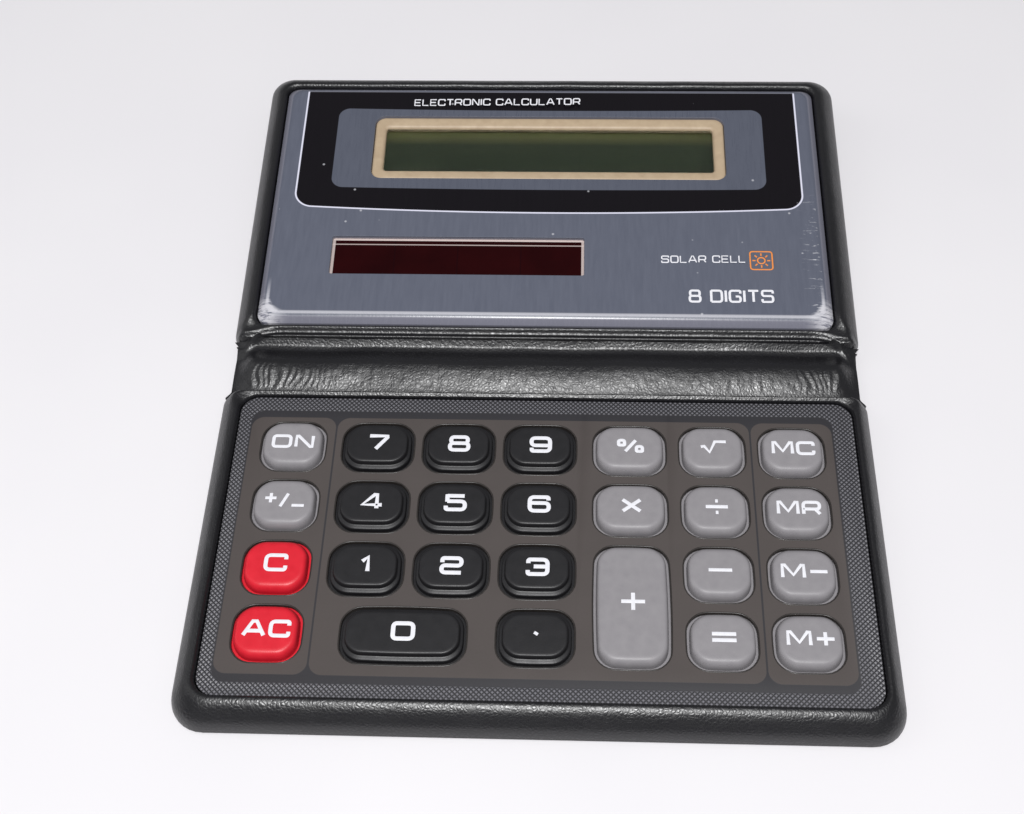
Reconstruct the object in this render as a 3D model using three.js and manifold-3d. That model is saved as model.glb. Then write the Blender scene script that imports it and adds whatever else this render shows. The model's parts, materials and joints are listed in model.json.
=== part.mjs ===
// A folding pocket calculator in a welded vinyl cover, in millimetres, +Z up.
// It lies open: the keyboard half flat, towards -Y, and the display half raised a little, towards +Y.
// Between them is a spine with a crease on each side, so that the cover folds like a book.
import * as THREE from "three";
import { mergeVertices } from "three/addons/utils/BufferGeometryUtils.js";
import Module from "manifold-3d";

// Overall sizes of the open cover.
const COVER_WIDTH = 91;
const KEYBOARD_LENGTH = 50.2; // from the first crease to the front edge
const DISPLAY_OVERHANG = 1.55; // the display half is longer than the keyboard half by this much
const OPEN_TILT = 4.4; // degrees that the display half is raised by when it lies open

// Sheet and layer thicknesses, from the table up.
const LAYER_GAP = 0.05;
const COVER = 0.4;
const FOAM = 0.3;
const BACK_PLATE = 0.25;
const CIRCUIT = 0.2;
const MAT = 0.2;
const DOME_HEIGHT = 0.6;
const KEY_FLANGE = 0.3;
const KEY_PANEL = 0.6;
const KEY_RISE = 1.1; // how far a key stands out of its panel
const BACK_CASE = 0.8;
const CASE_HEADROOM = 0.15; // free height over the tallest thing in the case
const FRONT_CASE = 0.45;
const FACE = 0.6;
const REFLECTOR = 0.1;
const GLASS = 0.5;
const POLARIZER = 0.15;
const BOARD = 0.3;
const CLOSED_GAP = 0.3; // between the keys and the face when the cover is shut

// Cover edges.
const CREASE_GAP = 0.4; // from a crease to the sheets beside it
const CORNER_RADIUS = 4.5;
const SPINE_CORNER_RADIUS = 1.5;
const SPINE_INDENT = 0.8; // the spine is this much narrower than the halves, on each side
const WELD_WIDTH = 1.0;
const WELD_HEIGHT = 0.85;
const RIM_ROUND = 0.5;
const RIM_OVER_PANEL = 0.95; // the padded edge stands this much above the key panel
const RIM_UNDER_FACE = 0.35; // and this much below the face
const KEYBOARD_RIM = { left: 3.2, right: 2.7, front: 3.6, spine: 1.2 };
const DISPLAY_RIM = { side: 4.0, far: 4.0, spine: 2.1 };
const RIM_CLEARANCE = 0.1;

// Key panel: the margins round the block of keys, and the webs between their holes.
const PANEL_MARGIN = { left: 3.65, right: 4.3, front: 4.45, spine: 4.2 };
const PANEL_CORNER = 2.5;
const BLOCK_WEB = 2.3;
const KEY_WEB = 1.23;
const MEMORY_WEB = 1.8;
const ROW_WEB = 1.4;
const NARROW_KEY_LESS = 0.94; // the outer columns are this much narrower
const KEY_CLEARANCE = 0.35;
const KEY_CORNER = 1.9;
const KEY_BOW = 0.25; // how far the sides of a key bow out
const FLANGE_WIDER = 0.3; // the hidden flange past the key's hole, on each side
const KEY_CHAMFER = 0.4;
const DOME_RADIUS = 2.2;
const DOME_TOP_RADIUS = 1.4;

// Face plate and its windows.
const FACE_BEVEL = { inset: 1.1, drop: 1.05 }; // the sloping edge, across and down
const FACE_CORNER = 1.6;
const FACE_SKIRT = 1.2;
const BEZEL = { width: 54.2, length: 12.1, fromFarEdge: 6.5, recess: 0.25 };
const BEZEL_BORDER = { side: 1.53, far: 1.88, near: 1.7 };
const BEZEL_CORNER = 1.5;
const WINDOW = 0.3;
const WINDOW_RECESS = 0.4; // the clear pane lies this far below the top of the bezel
const SOLAR_WINDOW = { width: 37.7, length: 6.85, fromLeft: 9.36, fromNearEdge: 8.2 };
const SOLAR_CELL_WIDER = 0.9;
const SOLAR_CELL = 0.8;
const FIT = 0.1; // side clearance between pieces that drop into one another

// Inside the display half.
const CASE_WALL = 1.0;
const GLASS_PAST_BEZEL = 1.8;
const CONTACT_LEDGE = 2.4; // the front glass reaches past the rear one by this much
const ZEBRA_WIDTH = 1.5;
const BLOB_RADIUS = 3.6;
const BLOB_HEIGHT = 1.1;
const CAPACITOR = { radius: 0.7, length: 4.2 };
const WIRE_RADIUS = 0.3;
const SCREW = { head: 1.4, headHeight: 0.4, shank: 0.65, inset: 3.4 };
const BOSS_RADIUS = 1.9;
const RIBBON = { width: 22, thickness: 0.15, landing: 2.0 };
const RIBBON_SLOT = 0.5; // clearance round the ribbon where it passes a wall

// Liner between the halves.
const LINER = 0.5;
const LINER_GROOVE = 2.2;
const LINER_ROLL = 3.6;
const LINER_DIP = 2.7;

const ARC_STEPS = 6; // facets of a rounded corner
const KEY_ARC_STEPS = 3;

const wasm = await Module();
wasm.setup();

// ---- Solids ----

function solid(geometry) {
  geometry.deleteAttribute("normal");
  geometry.deleteAttribute("uv");
  const merged = mergeVertices(geometry, 1e-4);
  return new wasm.Manifold(new wasm.Mesh({
    numProp: 3,
    vertProperties: merged.attributes.position.array,
    triVerts: new Uint32Array(merged.index.array),
  }));
}

function geometryOf(body) {
  const mesh = body.getMesh();
  const geometry = new THREE.BufferGeometry();
  geometry.setAttribute("position", new THREE.BufferAttribute(mesh.vertProperties, 3));
  geometry.setIndex(new THREE.BufferAttribute(mesh.triVerts, 1));
  const faceted = geometry.toNonIndexed();
  faceted.computeVertexNormals();
  return faceted;
}

// A rectangle with rounded corners; the near corners (low y) and the far ones may differ.
function roundedRect({ x0, x1, y0, y1 }, near, far = near) {
  const shape = new THREE.Shape();
  shape.moveTo(x0 + near, y0);
  shape.lineTo(x1 - near, y0);
  shape.absarc(x1 - near, y0 + near, near, -Math.PI / 2, 0);
  shape.lineTo(x1, y1 - far);
  shape.absarc(x1 - far, y1 - far, far, 0, Math.PI / 2);
  shape.lineTo(x0 + far, y1);
  shape.absarc(x0 + far, y1 - far, far, Math.PI / 2, Math.PI);
  shape.lineTo(x0, y0 + near);
  shape.absarc(x0 + near, y0 + near, near, Math.PI, Math.PI * 1.5);
  return shape;
}

function rectangle({ x0, x1, y0, y1 }) {
  const corners = [[x0, y0], [x1, y0], [x1, y1], [x0, y1]];
  return new THREE.Shape(corners.map(([x, y]) => new THREE.Vector2(x, y)));
}

// The outline of a key or its hole: a rectangle with soft corners, whose sides bow out a little.
function keyOutline({ x, y, width, length }) {
  const [a, b] = [width / 2, length / 2];
  const [cornerX, cornerY] = [a - KEY_BOW - KEY_CORNER, b - KEY_BOW - KEY_CORNER];
  const corners = [[1, 1], [-1, 1], [-1, -1], [1, -1]];
  const points = [];
  corners.forEach(([right, away], quarter) => {
    points.push(quarter % 2 ? [0, b * away] : [a * right, 0]);
    for (let step = 0; step <= KEY_ARC_STEPS; step++) {
      const turn = (quarter + step / KEY_ARC_STEPS) * (Math.PI / 2);
      const [c, s] = [Math.cos(turn), Math.sin(turn)];
      points.push([cornerX * right + KEY_CORNER * c, cornerY * away + KEY_CORNER * s]);
    }
  });
  return new THREE.Shape(points.map(([px, py]) => new THREE.Vector2(x + px, y + py)));
}

// A flat sheet between two heights.
function sheet(shape, low, high) {
  const blank = new THREE.ExtrudeGeometry(shape, {
    depth: high - low,
    bevelEnabled: false,
    curveSegments: ARC_STEPS,
  });
  return solid(blank.translate(0, 0, low));
}

// A sheet whose upper edges are rounded or chamfered, and whose lower edges are square.
function crowned(shape, low, high, { inset, drop, steps = 1 }) {
  const blank = new THREE.ExtrudeGeometry(shape, {
    depth: high - low,
    bevelSize: inset,
    bevelOffset: -inset,
    bevelThickness: drop,
    bevelSegments: steps,
    curveSegments: ARC_STEPS,
  });
  blank.translate(0, 0, low - drop);
  blank.computeBoundingBox();
  const { min, max } = blank.boundingBox;
  const below = { x0: min.x - 1, x1: max.x + 1, y0: min.y - 1, y1: max.y + 1 };
  return solid(blank).subtract(sheet(rectangle(below), min.z - 1, low));
}

// A round piece about a vertical axis, from its profile of radius and height.
function turned(profile, x, y, z, segments = 12) {
  const points = profile.map(([radius, height]) => new THREE.Vector2(radius, height));
  const blank = new THREE.LatheGeometry(points, segments);
  blank.rotateX(Math.PI / 2);
  return solid(blank.translate(x, y, z));
}

function cylinder(radius, low, high, x, y) {
  return turned([[0, low], [radius, low], [radius, high], [0, high]], x, y, 0);
}

// A strip of even thickness that follows a curve across the creases, as wide as it is told.
function strip(centre, thickness, width, steps) {
  const curve = new THREE.SplineCurve(centre.map(([y, z]) => new THREE.Vector2(y, z)));
  const above = [];
  const below = [];
  for (let i = 0; i <= steps; i++) {
    const point = curve.getPoint(i / steps);
    const along = curve.getTangent(i / steps);
    const normal = new THREE.Vector2(-along.y, along.x).multiplyScalar(thickness / 2);
    above.push(point.clone().add(normal));
    below.push(point.clone().sub(normal));
  }
  const blank = new THREE.ExtrudeGeometry(new THREE.Shape([...below, ...above.reverse()]), {
    depth: width,
    bevelEnabled: false,
  });
  // The section was drawn in x and y, so x is turned to run across the fold and y to stand up.
  const basis = [[0, 1, 0], [0, 0, 1], [1, 0, 0]].map((axis) => new THREE.Vector3(...axis));
  blank.applyMatrix4(new THREE.Matrix4().makeBasis(...basis));
  return solid(blank.translate(-width / 2, 0, 0));
}

function inset(area, by) {
  return { x0: area.x0 + by, x1: area.x1 - by, y0: area.y0 + by, y1: area.y1 - by };
}

// ---- Materials and nodes ----

const looks = {
  vinyl: { color: 0x26262a, roughness: 0.65, metalness: 0 },
  foam: { color: 0x8a8a86, roughness: 0.95, metalness: 0 },
  steel: { color: 0x9a9a9c, roughness: 0.4, metalness: 1 },
  board: { color: 0x2f6a3c, roughness: 0.5, metalness: 0 },
  rubber: { color: 0x50504e, roughness: 0.8, metalness: 0 },
  keyPanel: { color: 0x58504c, roughness: 0.6, metalness: 0 },
  blackKey: { color: 0x323032, roughness: 0.45, metalness: 0 },
  greyKey: { color: 0x968f92, roughness: 0.45, metalness: 0 },
  redKey: { color: 0xe42d3e, roughness: 0.4, metalness: 0 },
  face: { color: 0x5e616e, roughness: 0.4, metalness: 0.2 },
  case: { color: 0x202022, roughness: 0.6, metalness: 0 },
  bezel: { color: 0xb49e82, roughness: 0.5, metalness: 0 },
  pane: { color: 0xdfe6e4, roughness: 0.05, metalness: 0, transparent: true, opacity: 0.3 },
  glass: { color: 0xc8d4cc, roughness: 0.05, metalness: 0, transparent: true, opacity: 0.4 },
  polarizer: { color: 0x3a4234, roughness: 0.2, metalness: 0 },
  reflector: { color: 0xa8a890, roughness: 0.3, metalness: 0.8 },
  resin: { color: 0x101010, roughness: 0.3, metalness: 0 },
  solar: { color: 0x260408, roughness: 0.1, metalness: 0 },
  redWire: { color: 0xb02020, roughness: 0.5, metalness: 0 },
  blackWire: { color: 0x181818, roughness: 0.5, metalness: 0 },
  ribbon: { color: 0xb8843a, roughness: 0.4, metalness: 0 },
};

function node(name, look, body) {
  const mesh = new THREE.Mesh(geometryOf(body), new THREE.MeshStandardMaterial(looks[look]));
  mesh.name = name;
  return mesh;
}

// ---- Layout ----

// Heights of the keyboard half, from the table up.
const foamLow = COVER + LAYER_GAP;
const backPlateLow = foamLow + FOAM + LAYER_GAP;
const circuitLow = backPlateLow + BACK_PLATE + LAYER_GAP;
const circuitTop = circuitLow + CIRCUIT;
const matLow = circuitTop + LAYER_GAP;
const matTop = matLow + MAT;
const flangeLow = matTop + DOME_HEIGHT + LAYER_GAP;
const keyPanelLow = flangeLow + KEY_FLANGE + LAYER_GAP;
const keyPanelTop = keyPanelLow + KEY_PANEL;
const keyTop = keyPanelTop + KEY_RISE;
const keyboardRimTop = keyPanelTop + RIM_OVER_PANEL;

// Heights of the display half, measured in that half.
const backCaseLow = foamLow + FOAM + LAYER_GAP;
const caseFloor = backCaseLow + BACK_CASE;
const componentHeight = LAYER_GAP + BOARD + LAYER_GAP + 2 * CAPACITOR.radius;
const displayHeight = LAYER_GAP * 4 + REFLECTOR + GLASS * 2 + POLARIZER;
const frontCaseLow = caseFloor + Math.max(componentHeight, displayHeight) + CASE_HEADROOM;
const frontCaseTop = frontCaseLow + FRONT_CASE;
const faceLow = frontCaseTop + LAYER_GAP;
const faceTop = faceLow + FACE;
const displayRimTop = faceTop - RIM_UNDER_FACE;
const reflectorLow = caseFloor + LAYER_GAP;
const rearGlassLow = reflectorLow + REFLECTOR + LAYER_GAP;
const frontGlassLow = rearGlassLow + GLASS + LAYER_GAP;
const polarizerLow = frontGlassLow + GLASS + LAYER_GAP;
const bezelLow = polarizerLow + POLARIZER + LAYER_GAP;
const bezelTop = faceTop - BEZEL.recess;
const boardLow = caseFloor + LAYER_GAP;
const boardTop = boardLow + BOARD;

// The spine is as wide as the shut calculator is thick, less the two half thicknesses of its cover.
const spineWidth = keyTop + faceTop + CLOSED_GAP - COVER;
const crease = spineWidth / 2;
const creaseHeight = COVER / 2;

const keyboardArea = {
  x0: -COVER_WIDTH / 2,
  x1: COVER_WIDTH / 2,
  y0: -crease - KEYBOARD_LENGTH,
  y1: -crease - CREASE_GAP,
};
const panelOpening = {
  x0: keyboardArea.x0 + KEYBOARD_RIM.left,
  x1: keyboardArea.x1 - KEYBOARD_RIM.right,
  y0: keyboardArea.y0 + KEYBOARD_RIM.front,
  y1: keyboardArea.y1 - KEYBOARD_RIM.spine,
};
const panelArea = inset(panelOpening, RIM_CLEARANCE);
const keyBlock = {
  x0: panelArea.x0 + PANEL_MARGIN.left,
  x1: panelArea.x1 - PANEL_MARGIN.right,
  y0: panelArea.y0 + PANEL_MARGIN.front,
  y1: panelArea.y1 - PANEL_MARGIN.spine,
};

const displayArea = {
  x0: -COVER_WIDTH / 2,
  x1: COVER_WIDTH / 2,
  y0: crease + CREASE_GAP,
  y1: crease + KEYBOARD_LENGTH + DISPLAY_OVERHANG,
};
const faceOpening = {
  x0: displayArea.x0 + DISPLAY_RIM.side,
  x1: displayArea.x1 - DISPLAY_RIM.side,
  y0: displayArea.y0 + DISPLAY_RIM.spine,
  y1: displayArea.y1 - DISPLAY_RIM.far,
};
const faceArea = inset(faceOpening, RIM_CLEARANCE);
const caseArea = inset(faceArea, FACE_SKIRT + FIT);
const caseInside = inset(caseArea, CASE_WALL + FIT);

// ---- Keyboard half ----

// The columns from left to right: the web to the left of each one, and whether its keys are narrow.
const columnPlan = [
  { web: 0, narrow: true },
  { web: BLOCK_WEB, narrow: false },
  { web: KEY_WEB, narrow: false },
  { web: KEY_WEB, narrow: false },
  { web: BLOCK_WEB, narrow: false },
  { web: MEMORY_WEB, narrow: true },
  { web: MEMORY_WEB, narrow: true },
];
const ROWS = 4;
const websAcross = columnPlan.reduce((sum, column) => sum + column.web, 0);
const narrowColumns = columnPlan.filter((column) => column.narrow).length;
const holesAcross = keyBlock.x1 - keyBlock.x0 - websAcross;
const wideHole = (holesAcross + narrowColumns * NARROW_KEY_LESS) / columnPlan.length;
const holeLength = (keyBlock.y1 - keyBlock.y0 - (ROWS - 1) * ROW_WEB) / ROWS;
const rowPitch = holeLength + ROW_WEB;

const columns = [];
let columnEdge = keyBlock.x0;
for (const { web, narrow } of columnPlan) {
  const width = wideHole - (narrow ? NARROW_KEY_LESS : 0);
  columns.push({ x: columnEdge + web + width / 2, width });
  columnEdge += web + width;
}
const rowY = (row) => keyBlock.y1 - holeLength / 2 - row * rowPitch;

const plainKeys = [
  ["key_on", "key_7", "key_8", "key_9", "key_percent", "key_root", "key_mc"],
  ["key_sign", "key_4", "key_5", "key_6", "key_multiply", "key_divide", "key_mr"],
  ["key_c", "key_1", "key_2", "key_3", null, "key_minus", "key_m_minus"],
  ["key_ac", null, null, "key_point", null, "key_equals", "key_m_plus"],
];
const redKeys = ["key_c", "key_ac"];
const digitColumns = [1, 2, 3];

function keyLook(name, column) {
  if (redKeys.includes(name)) return "redKey";
  if (digitColumns.includes(column)) return "blackKey";
  return "greyKey";
}

const holes = [];
plainKeys.forEach((names, row) => names.forEach((name, column) => {
  if (!name) return;
  const { x, width } = columns[column];
  holes.push({ name, look: keyLook(name, column), x, y: rowY(row), width, length: holeLength });
}));
// The 0 key lies midway under two digit columns, and the + key is two rows long.
holes.push({
  name: "key_0",
  look: "blackKey",
  x: (columns[1].x + columns[2].x) / 2,
  y: rowY(3),
  width: columns[2].x - columns[1].x + columns[1].width / 2,
  length: holeLength,
});
holes.push({
  name: "key_plus",
  look: "greyKey",
  x: columns[4].x,
  y: (rowY(2) + rowY(3)) / 2,
  width: columns[4].width,
  length: rowPitch + holeLength,
});

function resized({ x, y, width, length }, by) {
  return { x, y, width: width + 2 * by, length: length + 2 * by };
}

function key(hole) {
  const cap = resized(hole, -KEY_CLEARANCE);
  const flange = resized(hole, FLANGE_WIDER);
  const base = {
    x0: flange.x - flange.width / 2,
    x1: flange.x + flange.width / 2,
    y0: flange.y - flange.length / 2,
    y1: flange.y + flange.length / 2,
  };
  const button = crowned(keyOutline(cap), flangeLow, keyTop, { inset: KEY_CHAMFER, drop: KEY_FLANGE });
  return node(hole.name, hole.look, button.add(sheet(rectangle(base), flangeLow, flangeLow + KEY_FLANGE)));
}

function keyPanel() {
  const outline = roundedRect(panelArea, PANEL_CORNER);
  outline.holes = holes.map(keyOutline);
  return node("keyboard_panel", "keyPanel", sheet(outline, keyPanelLow, keyPanelTop));
}

function contactMat(area) {
  let body = sheet(roundedRect(area, PANEL_CORNER), matLow, matTop);
  for (const { x, y } of holes) {
    const profile = [
      [0, -MAT / 2],
      [DOME_RADIUS, -MAT / 2],
      [DOME_RADIUS, 0],
      [DOME_TOP_RADIUS, DOME_HEIGHT],
      [0, DOME_HEIGHT],
    ];
    body = body.add(turned(profile, x, y, matTop, 8));
  }
  return node("contact_mat", "rubber", body);
}

// The padded edge of one half: a thin weld round the outside and a rounded roll inside it.
function rim(area, opening, radii, top) {
  const window = roundedRect(opening, radii.opening);
  const weld = roundedRect(area, radii.near, radii.far);
  weld.holes = [window];
  const outer = inset(area, WELD_WIDTH);
  // The roll reaches right to the crease, where there is no weld.
  if (area.y1 < 0) outer.y1 = area.y1;
  else outer.y0 = area.y0;
  const rollRadius = (radius) => Math.max(radius - WELD_WIDTH, 2 * RIM_ROUND);
  const roll = roundedRect(outer, rollRadius(radii.near), rollRadius(radii.far));
  roll.holes = [window];
  const round = { inset: RIM_ROUND, drop: RIM_ROUND, steps: 3 };
  return sheet(weld, foamLow, foamLow + WELD_HEIGHT).add(crowned(roll, foamLow, top, round));
}

// The way of the ribbon cable through a wall that stands between two lines across the fold.
function ribbonPassage(y0, y1, low, high) {
  const half = RIBBON.width / 2 + RIBBON_SLOT;
  return sheet(rectangle({ x0: -half, x1: half, y0, y1 }), low, high);
}

function keyboardHalf() {
  const half = new THREE.Group();
  const stack = inset(panelArea, RIM_CLEARANCE);
  const matArea = { ...stack, y1: stack.y1 - RIBBON.landing - RIBBON_SLOT };
  const radii = { near: CORNER_RADIUS, far: SPINE_CORNER_RADIUS, opening: PANEL_CORNER };
  const ribbonLow = circuitTop - LAYER_GAP;
  const passage = ribbonPassage(panelOpening.y1 - 1, keyboardArea.y1 + 1, ribbonLow, ribbonLow + RIBBON_SLOT);
  const cover = roundedRect(keyboardArea, CORNER_RADIUS, SPINE_CORNER_RADIUS);
  half.add(node("keyboard_cover", "vinyl", sheet(cover, 0, COVER)));
  const border = rim(keyboardArea, panelOpening, radii, keyboardRimTop);
  half.add(node("keyboard_rim", "vinyl", border.subtract(passage)));
  const layer = (low, thickness) => sheet(roundedRect(stack, PANEL_CORNER), low, low + thickness);
  half.add(node("keyboard_foam", "foam", layer(foamLow, FOAM)));
  half.add(node("keyboard_back_plate", "steel", layer(backPlateLow, BACK_PLATE)));
  half.add(node("keyboard_circuit", "board", layer(circuitLow, CIRCUIT)));
  half.add(contactMat(matArea));
  half.add(keyPanel());
  holes.forEach((hole) => half.add(key(hole)));
  return half;
}

// ---- Display half ----

const bezelArea = {
  x0: -BEZEL.width / 2,
  x1: BEZEL.width / 2,
  y0: faceArea.y1 - BEZEL.fromFarEdge - BEZEL.length,
  y1: faceArea.y1 - BEZEL.fromFarEdge,
};
const displayWindow = {
  x0: bezelArea.x0 + BEZEL_BORDER.side,
  x1: bezelArea.x1 - BEZEL_BORDER.side,
  y0: bezelArea.y0 + BEZEL_BORDER.near,
  y1: bezelArea.y1 - BEZEL_BORDER.far,
};
const solarWindow = {
  x0: faceArea.x0 + SOLAR_WINDOW.fromLeft,
  x1: faceArea.x0 + SOLAR_WINDOW.fromLeft + SOLAR_WINDOW.width,
  y0: faceArea.y0 + SOLAR_WINDOW.fromNearEdge,
  y1: faceArea.y0 + SOLAR_WINDOW.fromNearEdge + SOLAR_WINDOW.length,
};
const solarArea = inset(solarWindow, -SOLAR_CELL_WIDER);
const glassArea = {
  x0: bezelArea.x0 - GLASS_PAST_BEZEL,
  x1: bezelArea.x1 + GLASS_PAST_BEZEL,
  y0: bezelArea.y0 - GLASS_PAST_BEZEL,
  y1: bezelArea.y1 + GLASS_PAST_BEZEL,
};
const rearGlassArea = { ...glassArea, y0: glassArea.y0 + CONTACT_LEDGE };
const boardArea = { ...inset(caseInside, FIT), y1: glassArea.y0 + CONTACT_LEDGE - FIT };
const nearScrews = caseInside.y0 + SCREW.inset;
const farScrews = glassArea.y0 - BOSS_RADIUS - 2 * FIT;
const screwPlaces = [
  [caseInside.x0 + SCREW.inset, nearScrews],
  [caseInside.x1 - SCREW.inset, nearScrews],
  [caseInside.x1 - SCREW.inset, farScrews],
  [caseInside.x0 + SCREW.inset, farScrews],
];
// The chip and the capacitor share the free part of the board, beside the solar cell.
const componentsX = (solarArea.x1 + caseInside.x1) / 2;

function facePanel() {
  const low = faceTop - FACE_BEVEL.drop;
  const plate = crowned(roundedRect(faceArea, FACE_CORNER), low, faceTop, FACE_BEVEL);
  const pocket = sheet(roundedRect(inset(faceArea, FACE_SKIRT), FACE_CORNER), low - 1, faceLow);
  const display = sheet(roundedRect(bezelArea, BEZEL_CORNER), faceLow - 1, faceTop + 1);
  const solar = sheet(rectangle(solarWindow), faceLow - 1, faceTop + 1);
  return plate.subtract(pocket).subtract(display).subtract(solar);
}

function bezel() {
  const outline = roundedRect(inset(bezelArea, FIT), BEZEL_CORNER);
  outline.holes = [rectangle(displayWindow)];
  return sheet(outline, bezelLow, bezelTop);
}

function frontCase() {
  const outline = roundedRect(caseArea, FACE_CORNER);
  outline.holes = [roundedRect(bezelArea, BEZEL_CORNER), rectangle(inset(solarArea, -FIT))];
  let body = sheet(outline, frontCaseLow, frontCaseTop);
  const bossLow = boardTop + LAYER_GAP;
  for (const [x, y] of screwPlaces) {
    const boss = cylinder(BOSS_RADIUS, bossLow, frontCaseLow + FRONT_CASE / 2, x, y);
    const pilot = cylinder(SCREW.shank + LAYER_GAP, bossLow - 1, frontCaseLow, x, y);
    body = body.add(boss).subtract(pilot);
  }
  return body;
}

function backCase() {
  const tray = sheet(roundedRect(caseArea, FACE_CORNER), backCaseLow, frontCaseLow - LAYER_GAP);
  let body = tray.subtract(sheet(rectangle(caseInside), caseFloor, frontCaseLow + 1));
  body = body.subtract(ribbonPassage(caseArea.y0 - 1, caseInside.y0 + 1, boardTop, boardTop + RIBBON_SLOT));
  for (const [x, y] of screwPlaces) {
    const recessTop = backCaseLow + SCREW.headHeight + LAYER_GAP;
    const recess = cylinder(SCREW.head + FIT, backCaseLow - 1, recessTop, x, y);
    const hole = cylinder(SCREW.shank + FIT, backCaseLow - 1, caseFloor + 1, x, y);
    body = body.subtract(recess).subtract(hole);
  }
  return body;
}

function screw(x, y) {
  const head = cylinder(SCREW.head, backCaseLow, backCaseLow + SCREW.headHeight, x, y);
  return head.add(cylinder(SCREW.shank, backCaseLow, frontCaseLow - LAYER_GAP, x, y));
}

function mainBoard() {
  let body = sheet(rectangle(boardArea), boardLow, boardTop);
  for (const [x, y] of screwPlaces) {
    body = body.subtract(cylinder(SCREW.shank + 2 * FIT, boardLow - 1, boardTop + 1, x, y));
  }
  return body;
}

function processorBlob() {
  const profile = [[0, 0], [BLOB_RADIUS, 0], [BLOB_RADIUS * 0.86, BLOB_HEIGHT * 0.5],
    [BLOB_RADIUS * 0.5, BLOB_HEIGHT * 0.87], [0, BLOB_HEIGHT]];
  return turned(profile, componentsX, glassArea.y0 - BLOB_RADIUS - SCREW.shank, boardTop + LAYER_GAP);
}

function capacitor() {
  const { radius, length } = CAPACITOR;
  const can = new THREE.CylinderGeometry(radius, radius, length, 10);
  can.rotateZ(Math.PI / 2);
  return solid(can.translate(componentsX, boardArea.y0 + 2 * radius, boardTop + LAYER_GAP + radius));
}

// A wire from the underside of the cell down to the board, with a slack bow.
function wire(x, towards) {
  const top = frontCaseTop - SOLAR_CELL - LAYER_GAP;
  const path = new THREE.CatmullRomCurve3([
    new THREE.Vector3(x, solarArea.y0 + 2, top - WIRE_RADIUS),
    new THREE.Vector3(x + towards * 3, solarArea.y0 + 2.4, top - WIRE_RADIUS * 1.5),
    new THREE.Vector3(x + towards * 6, solarArea.y0 + 1.2, boardTop + LAYER_GAP + WIRE_RADIUS * 1.5),
    new THREE.Vector3(x + towards * 9, solarArea.y0 + 1, boardTop + LAYER_GAP * 2 + WIRE_RADIUS),
  ]);
  const section = new THREE.Shape();
  section.absarc(0, 0, WIRE_RADIUS, 0, Math.PI * 2);
  return solid(new THREE.ExtrudeGeometry(section, {
    steps: 10,
    curveSegments: 6,
    bevelEnabled: false,
    extrudePath: path,
  }));
}

function displayHalf() {
  const half = new THREE.Group();
  const radii = { near: SPINE_CORNER_RADIUS, far: CORNER_RADIUS, opening: FACE_CORNER };
  const wallStart = displayArea.y0 - 1;
  const passage = ribbonPassage(wallStart, faceOpening.y0 + 1, foamLow + FOAM, boardTop + RIBBON_SLOT);
  const cover = roundedRect(displayArea, SPINE_CORNER_RADIUS, CORNER_RADIUS);
  const foam = inset(faceArea, RIM_CLEARANCE);
  const zebra = {
    x0: glassArea.x0 + FIT,
    x1: glassArea.x1 - FIT,
    y0: glassArea.y0 + FIT,
    y1: glassArea.y0 + FIT + ZEBRA_WIDTH,
  };
  const cellLow = frontCaseTop - SOLAR_CELL;
  const paneTop = bezelTop - WINDOW_RECESS;
  half.add(node("display_cover", "vinyl", sheet(cover, 0, COVER)));
  const border = rim(displayArea, faceOpening, radii, displayRimTop);
  half.add(node("display_rim", "vinyl", border.subtract(passage)));
  half.add(node("display_foam", "foam", sheet(roundedRect(foam, FACE_CORNER), foamLow, foamLow + FOAM)));
  half.add(node("display_back_case", "case", backCase()));
  half.add(node("display_front_case", "case", frontCase()));
  half.add(node("face_panel", "face", facePanel()));
  half.add(node("lcd_bezel", "bezel", bezel()));
  const block = (area, low, high) => sheet(rectangle(area), low, high);
  const paneArea = inset(displayWindow, FIT);
  const polarizerArea = inset(bezelArea, FIT);
  half.add(node("lcd_window", "pane", block(paneArea, paneTop - WINDOW, paneTop)));
  half.add(node("lcd_polarizer", "polarizer", block(polarizerArea, polarizerLow, polarizerLow + POLARIZER)));
  half.add(node("lcd_front_glass", "glass", block(glassArea, frontGlassLow, frontGlassLow + GLASS)));
  half.add(node("lcd_rear_glass", "glass", block(rearGlassArea, rearGlassLow, rearGlassLow + GLASS)));
  half.add(node("lcd_reflector", "reflector", block(rearGlassArea, reflectorLow, reflectorLow + REFLECTOR)));
  half.add(node("zebra_strip", "rubber", block(zebra, boardTop + LAYER_GAP, frontGlassLow - LAYER_GAP)));
  half.add(node("main_board", "board", mainBoard()));
  half.add(node("processor_blob", "resin", processorBlob()));
  half.add(node("capacitor", "case", capacitor()));
  half.add(node("solar_cell", "solar", block(solarArea, cellLow, frontCaseTop)));
  half.add(node("solar_wire_red", "redWire", wire(solarArea.x0 + 6, 1)));
  half.add(node("solar_wire_black", "blackWire", wire(solarArea.x1 - 6, -1)));
  screwPlaces.forEach(([x, y], i) => half.add(node("case_screw_" + (i + 1), "steel", screw(x, y))));
  return half;
}

// ---- Spine ----

// Where a point of the display half, given by y and z in that half, comes to when it is raised.
function raised(y, z) {
  const tilt = THREE.MathUtils.degToRad(OPEN_TILT);
  const [dy, dz] = [y - crease, z - creaseHeight];
  return [
    crease + dy * Math.cos(tilt) - dz * Math.sin(tilt),
    creaseHeight + dy * Math.sin(tilt) + dz * Math.cos(tilt),
  ];
}

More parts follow.
